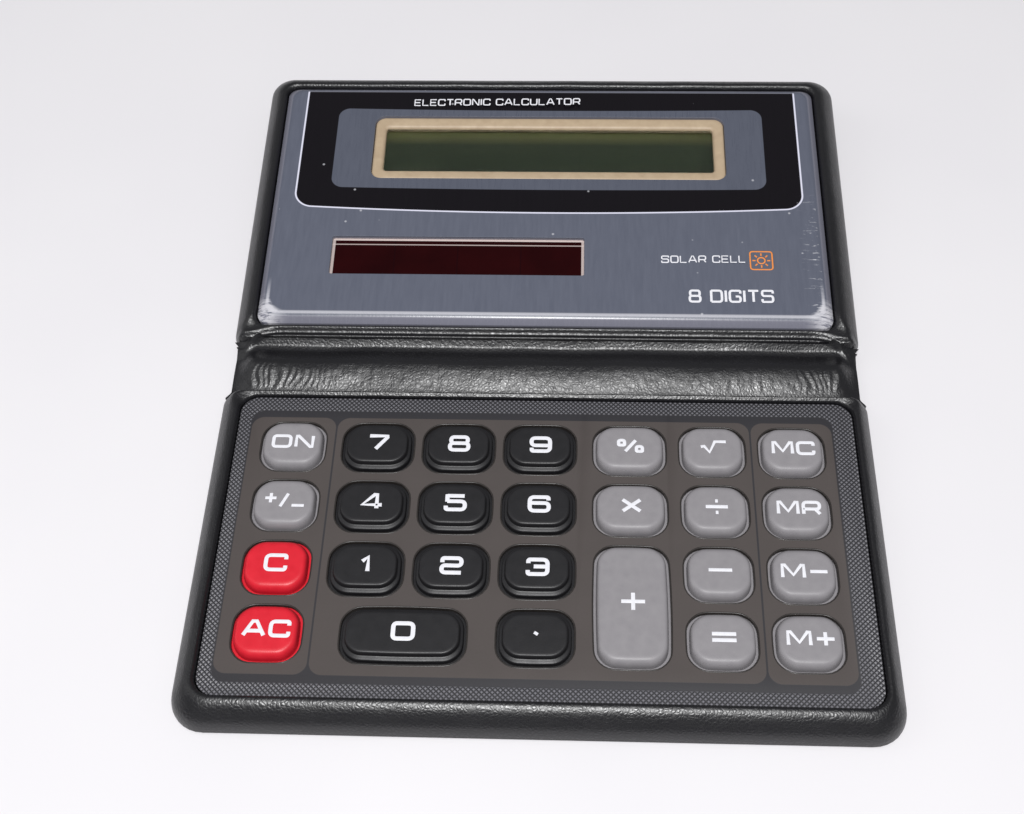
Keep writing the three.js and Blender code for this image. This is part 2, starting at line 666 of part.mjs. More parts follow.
function spine() {
  const group = new THREE.Group();
  const area = {
    x0: keyboardArea.x0 + SPINE_INDENT,
    x1: keyboardArea.x1 - SPINE_INDENT,
    y0: -crease + LAYER_GAP * 2,
    y1: crease - LAYER_GAP * 2,
  };
  // The ends of the liner rise steeply, so half its thickness lies between them and the rims.
  const linerGap = LINER / 2 + 2 * LAYER_GAP;
  const linerPath = [
    [keyboardArea.y1 + linerGap, LINER_GROOVE - LINER / 2],
    [-spineWidth * 0.33, LINER_ROLL - LINER / 2],
    [0, LINER_DIP - LINER / 2],
    [spineWidth * 0.24, LINER_DIP + LINER],
    raised(displayArea.y0 - linerGap, LINER_GROOVE - LINER / 2),
  ];
  const ribbonPath = [
    [panelArea.y1 - RIM_CLEARANCE - RIBBON.landing, circuitTop + LAYER_GAP + RIBBON.thickness / 2],
    [panelArea.y1 - RIM_CLEARANCE, circuitTop + LAYER_GAP + RIBBON.thickness],
    [-spineWidth * 0.3, circuitTop - LAYER_GAP],
    [spineWidth * 0.3, circuitTop - LAYER_GAP],
    raised(displayArea.y0 + DISPLAY_RIM.spine / 2, boardTop - RIBBON.thickness),
    raised(boardArea.y0, boardTop + LAYER_GAP * 2 + RIBBON.thickness / 2),
    raised(boardArea.y0 + RIBBON.landing, boardTop + LAYER_GAP + RIBBON.thickness / 2),
  ];
  group.add(node("spine_cover", "vinyl", sheet(rectangle(area), 0, COVER)));
  group.add(node("spine_liner", "vinyl", strip(linerPath, LINER, area.x1 - area.x0, 14)));
  group.add(node("ribbon_cable", "ribbon", strip(ribbonPath, RIBBON.thickness, RIBBON.width, 16)));
  return group;
}

// ---- Assembly ----

const calculator = new THREE.Group();
calculator.add(keyboardHalf());
calculator.add(spine());

// The display half turns about the second crease.
const flatDisplay = displayHalf();
flatDisplay.position.set(0, -crease, -creaseHeight);
const raisedDisplay = new THREE.Group();
raisedDisplay.position.set(0, crease, creaseHeight);
raisedDisplay.rotation.x = THREE.MathUtils.degToRad(OPEN_TILT);
raisedDisplay.add(flatDisplay);
calculator.add(raisedDisplay);

// The origin is on the table, under the middle of the open calculator.
const extent = new THREE.Box3().setFromObject(calculator, true);
const middle = extent.getCenter(new THREE.Vector3());
calculator.position.set(-middle.x, -middle.y, -extent.min.z);

export default calculator;
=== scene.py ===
# %% [markdown]
# # A folding pocket calculator
#
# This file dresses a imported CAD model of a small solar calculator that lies
# open in a soft black wallet. The CAD solids say where everything is and what
# moves. Here the visible pieces get their finer shapes and their finishes.

# %% Load the frame
import json
import math

import bpy
from mathutils import Matrix, Vector, noise


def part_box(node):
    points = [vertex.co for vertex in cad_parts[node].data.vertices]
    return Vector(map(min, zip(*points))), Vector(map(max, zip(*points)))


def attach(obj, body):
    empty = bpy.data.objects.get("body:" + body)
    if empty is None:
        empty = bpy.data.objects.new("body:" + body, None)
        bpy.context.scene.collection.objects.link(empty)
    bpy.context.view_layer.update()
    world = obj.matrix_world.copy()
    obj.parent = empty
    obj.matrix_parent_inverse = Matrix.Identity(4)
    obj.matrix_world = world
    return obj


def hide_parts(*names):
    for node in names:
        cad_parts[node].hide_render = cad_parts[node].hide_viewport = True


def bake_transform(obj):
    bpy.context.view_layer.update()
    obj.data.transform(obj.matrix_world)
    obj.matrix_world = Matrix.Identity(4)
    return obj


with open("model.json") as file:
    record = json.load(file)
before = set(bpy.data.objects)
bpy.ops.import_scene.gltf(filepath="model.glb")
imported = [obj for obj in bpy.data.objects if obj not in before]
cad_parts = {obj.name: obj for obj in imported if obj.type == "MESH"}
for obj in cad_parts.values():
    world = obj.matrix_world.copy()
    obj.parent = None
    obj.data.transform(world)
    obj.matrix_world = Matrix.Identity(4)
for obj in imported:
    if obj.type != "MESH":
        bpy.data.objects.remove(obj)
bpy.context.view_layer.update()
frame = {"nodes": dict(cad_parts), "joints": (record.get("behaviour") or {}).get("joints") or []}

# %% [markdown]
# ## Millimetres and the two hinges
#
# Blender works in metres, and a calculator is easier to think of in
# millimetres, so every size below is in millimetres and `MM` turns it into
# metres. The wallet folds at two creases beside its spine. The display half
# rests on its thick edge, so it is raised a little about the far crease, and
# its pieces are modelled lying flat and are raised when they are finished.

# %% Sizes that the pieces share
MM = 0.001
NEAR_CREASE, FAR_CREASE = (
    joint["pos_m"][1] / MM for joint in frame["joints"] if joint["name"].endswith("_fold"))
CREASE_HEIGHT = 0.2
SPINE_MIDDLE = (NEAR_CREASE + FAR_CREASE) / 2
DISPLAY_TILT = math.radians(4.4)


def cad_area(node, inset=0.0):
    """The rectangle of a CAD node seen from above: left, right, near and far."""
    low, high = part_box(node)
    return (low.x / MM + inset, high.x / MM - inset, low.y / MM + inset, high.y / MM - inset)


def shrunk(area, by):
    """The same rectangle drawn in by a margin."""
    left, right, near, far = area
    return (left + by, right - by, near + by, far - by)


print("creases at", round(NEAR_CREASE, 3), round(FAR_CREASE, 3))

# %% [markdown]
# ## Camera, floor and light
#
# The camera stands in front of the calculator and looks down on it steeply.
# It is turned a little about its own axis, as a hand-held one is. The floor is
# a plain pale sheet. A broad soft light close to the camera does what a flash
# does, and a larger one overhead fills the shadows.

# %% Camera
LENS, SENSOR = 50, 36
CAMERA_AZIMUTH, CAMERA_ELEVATION, CAMERA_ROLL = (
    math.radians(angle) for angle in (3.969, 55.251, -2.539))
CAMERA_DISTANCE = 202.633
CAMERA_TARGET = Vector((-4.41, SPINE_MIDDLE - 4.88, -0.25))

camera_data = bpy.data.cameras.new("camera")
camera_data.lens, camera_data.sensor_width = LENS, SENSOR
camera_data.clip_start = 0.005
camera = bpy.data.objects.new("camera", camera_data)
bpy.context.scene.collection.objects.link(camera)
away = Vector((
    math.sin(CAMERA_AZIMUTH) * math.cos(CAMERA_ELEVATION),
    -math.cos(CAMERA_AZIMUTH) * math.cos(CAMERA_ELEVATION),
    math.sin(CAMERA_ELEVATION),
))
camera.location = (CAMERA_TARGET + away * CAMERA_DISTANCE) * MM
level = Matrix((
    (math.cos(CAMERA_AZIMUTH), math.sin(CAMERA_AZIMUTH), 0),
    away.cross(Vector((math.cos(CAMERA_AZIMUTH), math.sin(CAMERA_AZIMUTH), 0))),
    away,
)).transposed()
camera.rotation_euler = (level @ Matrix.Rotation(CAMERA_ROLL, 3, "Z")).to_euler()
bpy.context.scene.camera = camera
print("camera at", [round(v / MM, 1) for v in camera.location])

# %% Picking objects and vertices
def pick(*objects):
    """Selects only these objects and makes the first one active."""
    bpy.ops.object.select_all(action="DESELECT")
    for each in objects:
        each.select_set(True)
    bpy.context.view_layer.objects.active = objects[0]


def work(piece, chosen, operator, kind="VERT", **settings):
    """Runs one edit mode operator on the vertices, edges or faces that pass a test."""
    pick(piece)
    bpy.ops.object.mode_set(mode="EDIT")
    bpy.ops.mesh.select_mode(type=kind)
    bpy.ops.mesh.select_all(action="DESELECT")
    bpy.ops.object.mode_set(mode="OBJECT")
    elements = {"VERT": piece.data.vertices, "EDGE": piece.data.edges,
                "FACE": piece.data.polygons}[kind]
    for element in elements:
        element.select = bool(chosen(element))
    bpy.ops.object.mode_set(mode="EDIT")
    operator(**settings)
    bpy.ops.object.mode_set(mode="OBJECT")


def join(first, second):
    pick(first, second)
    bpy.ops.object.join()
    return first


# %% Floor and lights
bpy.ops.object.select_all(action="DESELECT")
bpy.ops.mesh.primitive_plane_add(size=1.6, location=(0, 0, -0.0001))
floor = bpy.context.object
floor.name = "floor"
bpy.ops.object.transform_apply(location=True)


def soft_light(name, place, size, power):
    """A square area light, in mm, that faces the calculator."""
    data = bpy.data.lights.new(name, "AREA")
    data.size, data.energy = size * MM, power
    light = bpy.data.objects.new(name, data)
    bpy.context.scene.collection.objects.link(light)
    light.location = Vector(place) * MM
    light.rotation_euler = Vector(place).to_track_quat("Z", "Y").to_euler()
    return light


soft_light("flash", (-10, -300, 570), 46, 3.1)
soft_light("overhead", (40, -120, 900), 420, 1.6)
soft_light("side", (-420, 60, 300), 300, 0.2)

world = bpy.data.worlds.new("room")
world.use_nodes = True
world.node_tree.nodes["Background"].inputs["Color"].default_value = (0.96, 0.97, 1, 1)
world.node_tree.nodes["Background"].inputs["Strength"].default_value = 0.22
bpy.context.scene.world = world
bpy.context.scene.view_settings.view_transform = "Standard"

# %% [markdown]
# ## Finishes as expressions
#
# A finish in Blender is a tree of nodes. Patterns need a lot of arithmetic on
# the place of a point, and that is easier to read as Python than as nodes. A
# `Wire` is one socket of the tree, and Python's operators on it add the Math
# nodes. `Finish` holds the tree, and its `node` method adds any other node.

# %% The Wire and Finish classes
class Wire:
    """A socket that Python's operators work on, by adding Math nodes."""

    def __init__(self, finish, socket):
        self.finish, self.socket = finish, socket

    def maths(self, operation, *terms):
        return self.finish.node("ShaderNodeMath", {"operation": operation}, terms)

    def __add__(self, other):
        return self.maths("ADD", self, other)

    __radd__ = __add__

    def __sub__(self, other):
        return self.maths("SUBTRACT", self, other)

    def __rsub__(self, other):
        return self.maths("SUBTRACT", other, self)

    def __mul__(self, other):
        return self.maths("MULTIPLY", self, other)

    __rmul__ = __mul__

    def __truediv__(self, other):
        return self.maths("DIVIDE", self, other)

    def __abs__(self):
        return self.maths("ABSOLUTE", self)

    def at_least(self, other):
        return self.maths("MAXIMUM", self, other)

    def at_most(self, other):
        return self.maths("MINIMUM", self, other)

    def root(self):
        return self.maths("SQRT", self)

    def repeated(self, length):
        """The distance into a pattern that starts again after each length."""
        return self.maths("FLOORED_MODULO", self, length)

    def above(self, edge, softness):
        """0 below an edge and 1 above it, with a soft step between."""
        return ((self - edge) / softness + 0.5).at_least(0).at_most(1)


class Finish:
    """A material under construction, with its shader's constant values set first."""

    def __init__(self, name, colour, roughness, tilted=False, **settings):
        self.material = bpy.data.materials.new(name)
        self.material.use_nodes = True
        self.tree = self.material.node_tree
        self.shader = self.tree.nodes["Principled BSDF"]
        self.set(Base_Color=(*colour, 1), Roughness=roughness, **settings)
        places = self.node("ShaderNodeTexCoord", {}, [], "Object")
        if tilted:
            places = self.node("ShaderNodeMapping", {"vector_type": "TEXTURE"}, {
                "Vector": places,
                "Location": (0, FAR_CREASE * MM, CREASE_HEIGHT * MM),
                "Rotation": (DISPLAY_TILT, 0, 0),
            })
        self.place = self.node("ShaderNodeVectorMath", {"operation": "SCALE"},
                               {"Vector": places, "Scale": 1 / MM})
        self.x, self.y, self.z = (
            self.node("ShaderNodeSeparateXYZ", {}, [self.place], axis) for axis in "XYZ")

    def node(self, kind, settings, sockets, output=0):
        """Adds a node, sets it up, fills its sockets and gives one of its outputs."""
        made = self.tree.nodes.new(kind)
        for name, value in settings.items():
            setattr(made, name, value)
        pairs = sockets.items() if isinstance(sockets, dict) else enumerate(sockets)
        for key, value in pairs:
            if isinstance(value, Wire):
                self.tree.links.new(value.socket, made.inputs[key])
            else:
                made.inputs[key].default_value = value
        return Wire(self, made.outputs[output])

    def set(self, **sockets):
        """Sets sockets of the shader, with a name's spaces written as underscores."""
        for name, value in sockets.items():
            socket = self.shader.inputs[name.replace("_", " ")]
            if isinstance(value, Wire):
                self.tree.links.new(value.socket, socket)
            else:
                socket.default_value = value

    def grain(self, size, detail=2.0, place=None, output="Fac", roughness=0.5):
        """Soft noise whose lumps are about this many mm across."""
        return self.node("ShaderNodeTexNoise", {}, {
            "Vector": place or self.place, "Scale": 1 / size, "Detail": detail,
            "Roughness": roughness}, output)

    def cells(self, size, feature="F1", place=None):
        """Distance to the nearest of scattered points, about this many mm apart."""
        return self.node("ShaderNodeTexVoronoi", {"feature": feature}, {
            "Vector": place or self.place, "Scale": 1 / size}, "Distance")

    def mixed(self, amount, first, second):
        """One colour where the amount is 0 and another where it is 1."""
        def full(colour):
            return colour if isinstance(colour, Wire) else (*colour, 1)
        return self.node("ShaderNodeMix", {"data_type": "RGBA"}, {
            0: amount, 6: full(first), 7: full(second)}, 2)

    def stretched(self, across, along, up=1.0):
        """The place with its axes multiplied, which squeezes a pattern along them."""
        return self.node("ShaderNodeVectorMath", {"operation": "MULTIPLY"},
                         [self.place, (across, along, up)])

    def bump(self, height, depth):
        """Raises the surface by a height of 0 to 1 times a depth in mm."""
        self.set(Normal=self.node("ShaderNodeBump", {}, {
            "Strength": 1, "Distance": depth * MM, "Height": height}, "Normal"))

    def inside(self, x, y, area, radius, soft=0.08):
        """1 inside a rectangle with rounded corners and 0 outside it."""
        left, right, near, far = area
        across = abs(x - (left + right) / 2) - ((right - left) / 2 - radius)
        along = abs(y - (near + far) / 2) - ((far - near) / 2 - radius)
        corner = (across.at_least(0) * across.at_least(0) + along.at_least(0) * along.at_least(0))
        past = corner.root() + across.at_least(along).at_most(0) - radius
        return (0.5 - past / soft).at_least(0).at_most(1)


def tone(red, green, blue):
    """A colour as a screen shows it, 0 to 255, turned into the light that Blender works in."""
    def linear(value):
        share = value / 255
        return share / 12.92 if share <= 0.04045 else ((share + 0.055) / 1.055) ** 2.4
    return tuple(linear(value) for value in (red, green, blue))


print("a mid grey of 128 is", round(tone(128, 128, 128)[0], 3), "of full light")

# %% The floor's finish
paper = Finish("floor_paper", tone(236, 234, 236), 0.75)
paper.set(Base_Color=paper.mixed(paper.grain(60, 3), tone(238, 236, 238), tone(228, 226, 230)))
floor.data.materials.append(paper.material)

# %% [markdown]
# ## Shaping helpers
#
# Nearly every piece here is a rounded rectangle that changes size as it
# rises: a key, a frame, a padded edge. So one helper draws such an outline, from
# a plane with bevelled corners, and another joins outline to outline with faces,
# which a modeller knows as lofting or bridging.

# %% Outline and loft
def everything(element):
    return True


def face_outwards(piece):
    """Turns every face of a closed piece outwards, which its volume tells from inwards."""
    work(piece, everything, bpy.ops.mesh.normals_make_consistent, inside=False)
    volume = sum(face.center.dot(face.normal) * face.area for face in piece.data.polygons)
    if volume < 0:
        work(piece, everything, bpy.ops.mesh.flip_normals)


CORNER_STEPS = 8
SIDE_STEP = 1.0


def outline(area, radii, height, cuts, steps=CORNER_STEPS):
    """A loop of edges: a plane at its size, with bevelled corners and divided sides.

    The near and the far corners may have different radii. cuts is how often the sides
    across and the sides along are divided.
    """
    left, right, near, far = area
    bpy.ops.object.select_all(action="DESELECT")
    bpy.ops.mesh.primitive_plane_add(
        size=1, location=((left + right) / 2 * MM, (near + far) / 2 * MM, height * MM))
    loop = bpy.context.object
    loop.scale = ((right - left) * MM, (far - near) * MM, 1)
    bpy.ops.object.transform_apply(location=True, rotation=False, scale=True)
    middle = (near + far) / 2 * MM
    for radius, is_far in zip(radii, (False, True)):
        work(loop, lambda v: (v.co.y > middle) == is_far, bpy.ops.mesh.bevel,
             offset=radius * MM, offset_type="OFFSET", segments=steps, affect="VERTICES",
             profile=0.5)
    work(loop, everything, bpy.ops.mesh.delete, "FACE", type="ONLY_FACE")
    straight = (right - left - 2 * max(radii), far - near - sum(radii))
    for axis in (0, 1):
        points = loop.data.vertices

        def is_side(edge):
            a, b = (points[v].co for v in edge.vertices)
            return abs(a[axis] - b[axis]) > 0.9 * straight[axis] * MM

        if cuts[axis]:
            work(loop, is_side, bpy.ops.mesh.subdivide, "EDGE", number_cuts=cuts[axis])
    return loop


def loft(name, rings, closed=False, top=False, bottom=False, side=SIDE_STEP, steps=CORNER_STEPS):
    """Joins outlines in order. Each ring is an area, its two corner radii and a height.

    closed joins the last outline to the first, and top and bottom fill the last and the first.
    side is about how long the divisions of the straight sides are.
    """
    left, right, near, far = rings[0][0]
    cuts = [max(0, round((high - low) / side) - 1) for low, high in ((left, right), (near, far))]
    body = outline(*rings[0], cuts, steps)
    body.name = name
    count = len(body.data.vertices)
    for number, ring in enumerate(rings[1:], 1):
        join(body, outline(*ring, cuts, steps))
        start = (number - 1) * count
        work(body, lambda v: start <= v.index < start + 2 * count,
             bpy.ops.mesh.bridge_edge_loops)
    last = (len(rings) - 1) * count
    if closed:
        work(body, lambda v: v.index < count or v.index >= last,
             bpy.ops.mesh.bridge_edge_loops)
    for wanted, begin in ((bottom, 0), (top, last)):
        if wanted:
            work(body, lambda v: begin <= v.index < begin + count, bpy.ops.mesh.edge_face_add)
    face_outwards(body)
    return body


def between(first, second, share):
    """The rectangle or the radii that lie a share of the way from one to the other."""
    return tuple(a + (b - a) * share for a, b in zip(first, second))


def smooth(piece, degrees=40):
    pick(piece)
    bpy.ops.object.shade_smooth_by_angle(angle=math.radians(degrees))


def cut_away(piece, cutters):
    """Cuts the cutters' shapes out of a piece and removes the cutters."""
    pick(*cutters)
    if len(cutters) > 1:
        bpy.ops.object.join()
    cutter = cutters[0]
    pick(piece)
    cut = piece.modifiers.new("cut", "BOOLEAN")
    cut.operation, cut.solver, cut.object = "DIFFERENCE", "EXACT", cutter
    bpy.ops.object.modifier_apply(modifier=cut.name)
    bpy.data.objects.remove(cutter)


def raised(piece):
    """Tilts a piece of the display half, modelled flat from the far crease, into its place."""
    pick(piece)
    piece.rotation_euler = (DISPLAY_TILT, 0, 0)
    piece.location = (0, FAR_CREASE * MM, CREASE_HEIGHT * MM)
    bpy.ops.object.transform_apply(location=True, rotation=True, scale=False)
    return piece


def finished(piece, finish, slot, body, *replaced):
    """Gives a piece its finish and its body, and hides the CAD nodes it stands for. slot is not
    used.
    """
    piece.data.materials.clear()
    piece.data.materials.append(finish.material)
    if body:
        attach(piece, body)
    if replaced:
        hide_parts(*replaced)
    print(piece.name, "has", len(piece.data.polygons), "faces")
    return piece


def curve_through(points, at):
    """Height at a place on a smooth curve through (place, height) points.

    The slope at a point is the harmonic mean of the slopes to both sides, or none
    at a crest or in a dip, so the curve never swings past its points.
    """
    spans = list(zip(points, points[1:]))
    slopes = [(b[1] - a[1]) / (b[0] - a[0]) for a, b in spans]
    turns = [slopes[0]]
    for before, after in zip(slopes, slopes[1:]):
        same_way = before * after > 0
        turns.append(2 * before * after / (before + after) if same_way else 0)
    turns.append(slopes[-1])
    at = min(max(at, points[0][0]), points[-1][0])
    span = next(i for i, (a, b) in enumerate(spans) if at <= b[0])
    (x0, y0), (x1, y1) = spans[span]
    width, rise = x1 - x0, y1 - y0
    share = (at - x0) / width
    first, last = turns[span] * width, turns[span + 1] * width
    return (y0 + share * first + share ** 2 * (3 * rise - 2 * first - last)
            + share ** 3 * (first + last - 2 * rise))


def eased(value, low, high):
    """0 below low, 1 above high, and a soft step between."""
    share = min(1.0, max(0.0, (value - low) / (high - low)))
    return share * share * (3 - 2 * share)


# %% [markdown]
# ## Leatherette
#
# The wallet is soft vinyl pressed with a fine leather grain: small round cells
# with creases between them. On crests it is a little polished, and the grain
# breaks the light into specks. It is made from two sizes of scattered cells,
# bent by noise so that no line is straight, and it feeds both the relief and
# the roughness.

# %% Leatherette finish
def leatherette(name, tilted=False):
    skin = Finish(name, tone(38, 37, 42), 0.42, tilted, Specular_IOR_Level=0.75)
    wander = skin.node("ShaderNodeVectorMath", {"operation": "MULTIPLY_ADD"}, [
        skin.grain(2.2, 2, output="Color"), (0.9, 0.9, 0.9), skin.place])
    cells = skin.cells(0.52, "DISTANCE_TO_EDGE", wander)
    pores = skin.cells(0.2, "F1", wander)
    pebble = (cells * 3.2).at_most(1)
    height = pebble * 0.75 + pores * 0.35
    skin.bump(height, 0.022)
    skin.set(
        Base_Color=skin.mixed(pebble * 0.7 + skin.grain(9, 3) * 0.3,
                              tone(9, 9, 12), tone(20, 19, 24)),
        Roughness=0.35 - pebble * 0.08 + skin.grain(6, 2) * 0.1,
    )
    return skin


leather = leatherette("leatherette")
leather_raised = leatherette("leatherette_display", tilted=True)

# %% [markdown]
# ## The padded edges
#
# Each half of the wallet holds its plastic parts in a padded border: vinyl
# over a soft core, welded flat along the outside. A cloth simulation would
# blow it up evenly, but this border is drawn tight over its core and has a
# known section, so its section is lofted round and then softened.

# %% Padded edges
PAD_LOW = 0.45
WELD_SECTION = ((0, 0.45), (0.02, 0.9), (0.05, 1.3), (0.09, 1.7), (0.14, 2.05), (0.2, 2.36),
                (0.27, 2.66), (0.34, 2.93), (0.42, 3.23), (0.5, 3.49), (0.58, 3.71), (0.66, 3.88),
                (0.74, 4.01), (0.82, 4.08), (0.89, 4.02), (0.95, 3.65), (1, 2.6))
SPINE_SECTION = ((0, 0.45), (0.02, 1.3), (0.1, 1.9), (0.22, 2.75), (0.34, 3.5), (0.44, 3.82),
                 (0.52, 3.88), (0.62, 3.82), (0.72, 3.73), (0.82, 3.64), (0.93, 3.54), (1, 2.6))


def padded_edge(name, area, opening, radii, opening_radius, spine_at, spine_way, lift,
                spine_section, end_turn=0.0):
    """A lofted border between an area and its opening.

    spine_way is 1 where the spine is beyond its far side, and -1 where it is before its near one.
    """
    shares = [place for place, height in WELD_SECTION]
    rings = [(between(area, opening, share),
              between(radii, (opening_radius, opening_radius), share), height)
             for share, height in WELD_SECTION]
    rings += [(opening, (opening_radius,) * 2, PAD_LOW + 0.04)]
    pad = loft(name, rings, closed=True, side=0.7, steps=10)
    count = len(pad.data.vertices) // len(rings)
    left, right, near, far = area
    for vertex in pad.data.vertices:
        ring = vertex.index // count
        if ring >= len(shares):
            continue
        share = shares[ring]
        x, y = vertex.co.x / MM, vertex.co.y / MM
        to_side = min(x - left, right - x)
        to_spine = (spine_at - y) * spine_way
        to_front = (far - near) - to_spine
        at_spine = eased(to_side - to_spine, -0.8, 1.4)
        height = WELD_SECTION[ring][1]
        # The crest at the spine may run down towards the ends of the spine.
        moved = share + end_turn * eased(abs(x), 38.5, 43.5)
        spine_height = curve_through(spine_section, min(moved, 0.97 if share < 0.98 else 1))
        if end_turn and moved > 0.7 and share < 0.95:
            spine_height = max(spine_height, 3.45)
        if ring:
            swell = noise.noise(Vector((x * 0.16, y * 0.16, 3))) * 0.07
            ripple = noise.noise(Vector((x * 0.9, y * 0.9, 7))) * 0.03
            height = height + (spine_height - height) * at_spine
            height += (swell + ripple) * eased(share, 0.2, 0.5) * eased(1 - share, 0, 0.2)
            height = PAD_LOW + (height - PAD_LOW) * lift
        vertex.co.z = height * MM
    smooth(pad, 60)
    return pad


keyboard_area = cad_area("keyboard_cover")
panel_area = cad_area("keyboard_panel")
keyboard_pad = padded_edge("keyboard_padded_edge", keyboard_area, shrunk(panel_area, -0.06),
                           (4.5, 1.5), 2.5, keyboard_area[3], 1, 1.0, SPINE_SECTION)
finished(keyboard_pad, leather, "vinyl", "keyboard_half", "keyboard_rim")

# %% Padded edge of the display half
DISPLAY_LENGTH, DISPLAY_START = 51.75, 0.4
FACE_AREA = (-42.0, 41.6, 2.5, 47.8)
DISPLAY_SPINE_SECTION = (
    (0, 0.45), (0.02, 2.9), (0.06, 3.18), (0.14, 3.25), (0.24, 3.12), (0.34, 2.96), (0.44, 2.92),
    (0.54, 3.02), (0.64, 3.2), (0.74, 3.4), (0.82, 3.5), (0.9, 3.45), (0.96, 3.3), (1, 2.6))
display_area = (-45.5, 45.5, DISPLAY_START, DISPLAY_LENGTH)
display_pad = padded_edge("display_padded_edge", display_area, shrunk(FACE_AREA, -0.06),
                          (1.5, 3.5), 1.6, DISPLAY_START, -1, 1.05, DISPLAY_SPINE_SECTION,
                          end_turn=0.5)
display_pad.data.transform(Matrix.Translation((0, 0, -CREASE_HEIGHT * MM)))
raised(display_pad)
finished(display_pad, leather_raised, "vinyl", "display_half", "display_rim")

# %% [markdown]
# ## The outer skins and the spine
#
# The outside of the wallet is one sheet of the same vinyl. Each half gets its
# own stretch of it. The stretch behind the spine is split along its middle.

# %% Outer skins of the two halves
SKIN = 0.4


def outer_skin(name, area, radii, low):
    rings = [(shrunk(area, 0.14), radii, low), (shrunk(area, 0.03), radii, low + 0.06),
             (area, radii, low + 0.15), (area, radii, low + 0.28),
             (shrunk(area, 0.04), radii, low + SKIN)]
    skin = loft(name, rings, top=True, bottom=True)
    smooth(skin, 50)
    return skin


keyboard_skin = outer_skin("keyboard_outer_skin", keyboard_area, (4.5, 1.5), 0)
finished(keyboard_skin, leather, "vinyl", "keyboard_half", "keyboard_cover")
display_skin = outer_skin("display_outer_skin", display_area, (1.5, 3.5), -CREASE_HEIGHT)
raised(display_skin)
finished(display_skin, leather_raised, "vinyl", "display_half", "display_cover")

# %% Strips over the spine
SPINE_HALF_WIDTH = 44.7
CORNER_HALF_WIDTH = 45.45


def pinched(y):
    """Half the width of the wallet at a place along it: the spine is nipped in at its ends."""
    nip = eased(y - SPINE_MIDDLE, -4.9, -3.6) * (1 - eased(y - SPINE_MIDDLE, 3.9, 5.2))
    return CORNER_HALF_WIDTH - (CORNER_HALF_WIDTH - SPINE_HALF_WIDTH) * nip


def strip(name, near, far, half_width, across, along, height, thickness):
    """A grid of faces shaped by a height, and given a thickness downwards.

    half_width and height are read at each vertex.
    """
    bpy.ops.object.select_all(action="DESELECT")
    bpy.ops.mesh.primitive_grid_add(x_subdivisions=across, y_subdivisions=along, size=1)
    piece = bpy.context.object
    piece.name = name
    for vertex in piece.data.vertices:
        y = near + (vertex.co.y + 0.5) * (far - near)
        x = vertex.co.x * 2 * half_width(y)
        vertex.co = Vector((x, y, height(x, y))) * MM
    pick(piece)
    wall = piece.modifiers.new("wall", "SOLIDIFY")
    wall.thickness, wall.offset = thickness * MM, -1
    bpy.ops.object.modifier_apply(modifier=wall.name)
    smooth(piece, 60)
    return piece


def hinge(y):
    return (0, y * MM, CREASE_HEIGHT * MM)


NEAR_END, FAR_END = SPINE_MIDDLE - 4.79, SPINE_MIDDLE + 4.77
NEAR_BEND = ("keyboard_half", "spine", hinge(NEAR_END), hinge(NEAR_CREASE + 0.4))
FAR_BEND = ("spine", "display_half", hinge(FAR_CREASE - 0.4), hinge(FAR_END))
for name, near, far, bend in (("spine_skin_near", NEAR_END, SPINE_MIDDLE, NEAR_BEND),
                              ("spine_skin_far", SPINE_MIDDLE, FAR_END, FAR_BEND)):
    spine_skin = strip(name, near, far, pinched, 90, 24, lambda x, y: SKIN, SKIN)
    finished(spine_skin, leather, "vinyl", None, "spine_cover")
    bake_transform(spine_skin)

# %% [markdown]
# ## The padded liner over the spine
#
# Inside the spine the vinyl stands up in a soft roll, dips, and stands up again
# in a lower ridge before the display half. At both ends it is drawn down and
# nipped in, which puckers the roll. The heights are given along the fold, and
# the puckers are added where the roll runs out.

# %% The liner
LINER_SECTION = ((-4.79, 1.6), (-4.3, 1.5), (-3.7, 1.68), (-3.0, 2.02), (-2.2, 2.42),
                 (-1.4, 2.75), (-0.6, 2.98), (0.1, 3.06), (0.7, 3.0), (1.3, 2.78), (1.9, 2.5),
                 (2.5, 2.22), (3.1, 2.06), (3.7, 2.12), (4.25, 2.52), (4.77, 3.02))
PUCKER = 0.95


def liner_height(x, row_y):
    y = row_y - SPINE_MIDDLE
    outward = abs(x)
    from_end = SPINE_HALF_WIDTH - outward
    height = curve_through(LINER_SECTION, y)
    # The puckers are strongest where the roll starts, and lean a little.
    strength = eased(from_end, 1.2, 3.5) * (1 - eased(from_end, 7, 19 if x < 0 else 11))
    on_roll = eased(y, -3.9, -2.6) * (1 - eased(y, -0.9, 0.9))
    wander = noise.noise(Vector((x * 0.35, y * 0.3, 2))) * 1.6
    pucker = math.sin(2 * math.pi * (outward / PUCKER + y * 0.16 + wander))
    height += 0.05 * strength * on_roll * pucker
    ripple = noise.noise(Vector((x * 1.3, y * 0.9, 5)))
    height += 0.05 * on_roll * ripple + 0.16 * noise.noise(Vector((x * 0.12, y * 0.25, 9)))
    # The edge of the display half curls round the end of the spine.
    curl = math.hypot(max(0.0, outward - 38.3) / 5.6, (y - 1.1) / 4.3)
    beyond = eased(outward, 38.6, 41.5) * eased(y, 1.5, 2.5)
    height += beyond * (0.5 * math.exp(-((curl - 1.02) / 0.075) ** 2))
    height += beyond * eased(curl, 0.98, 1.1) * 0.35
    drawn_down = eased(from_end, -0.2, 3.4)
    floor_height = 0.75 + 0.55 * eased(y, 1.8, 3.5)
    return floor_height + (height - floor_height) * (0.12 + 0.88 * drawn_down)


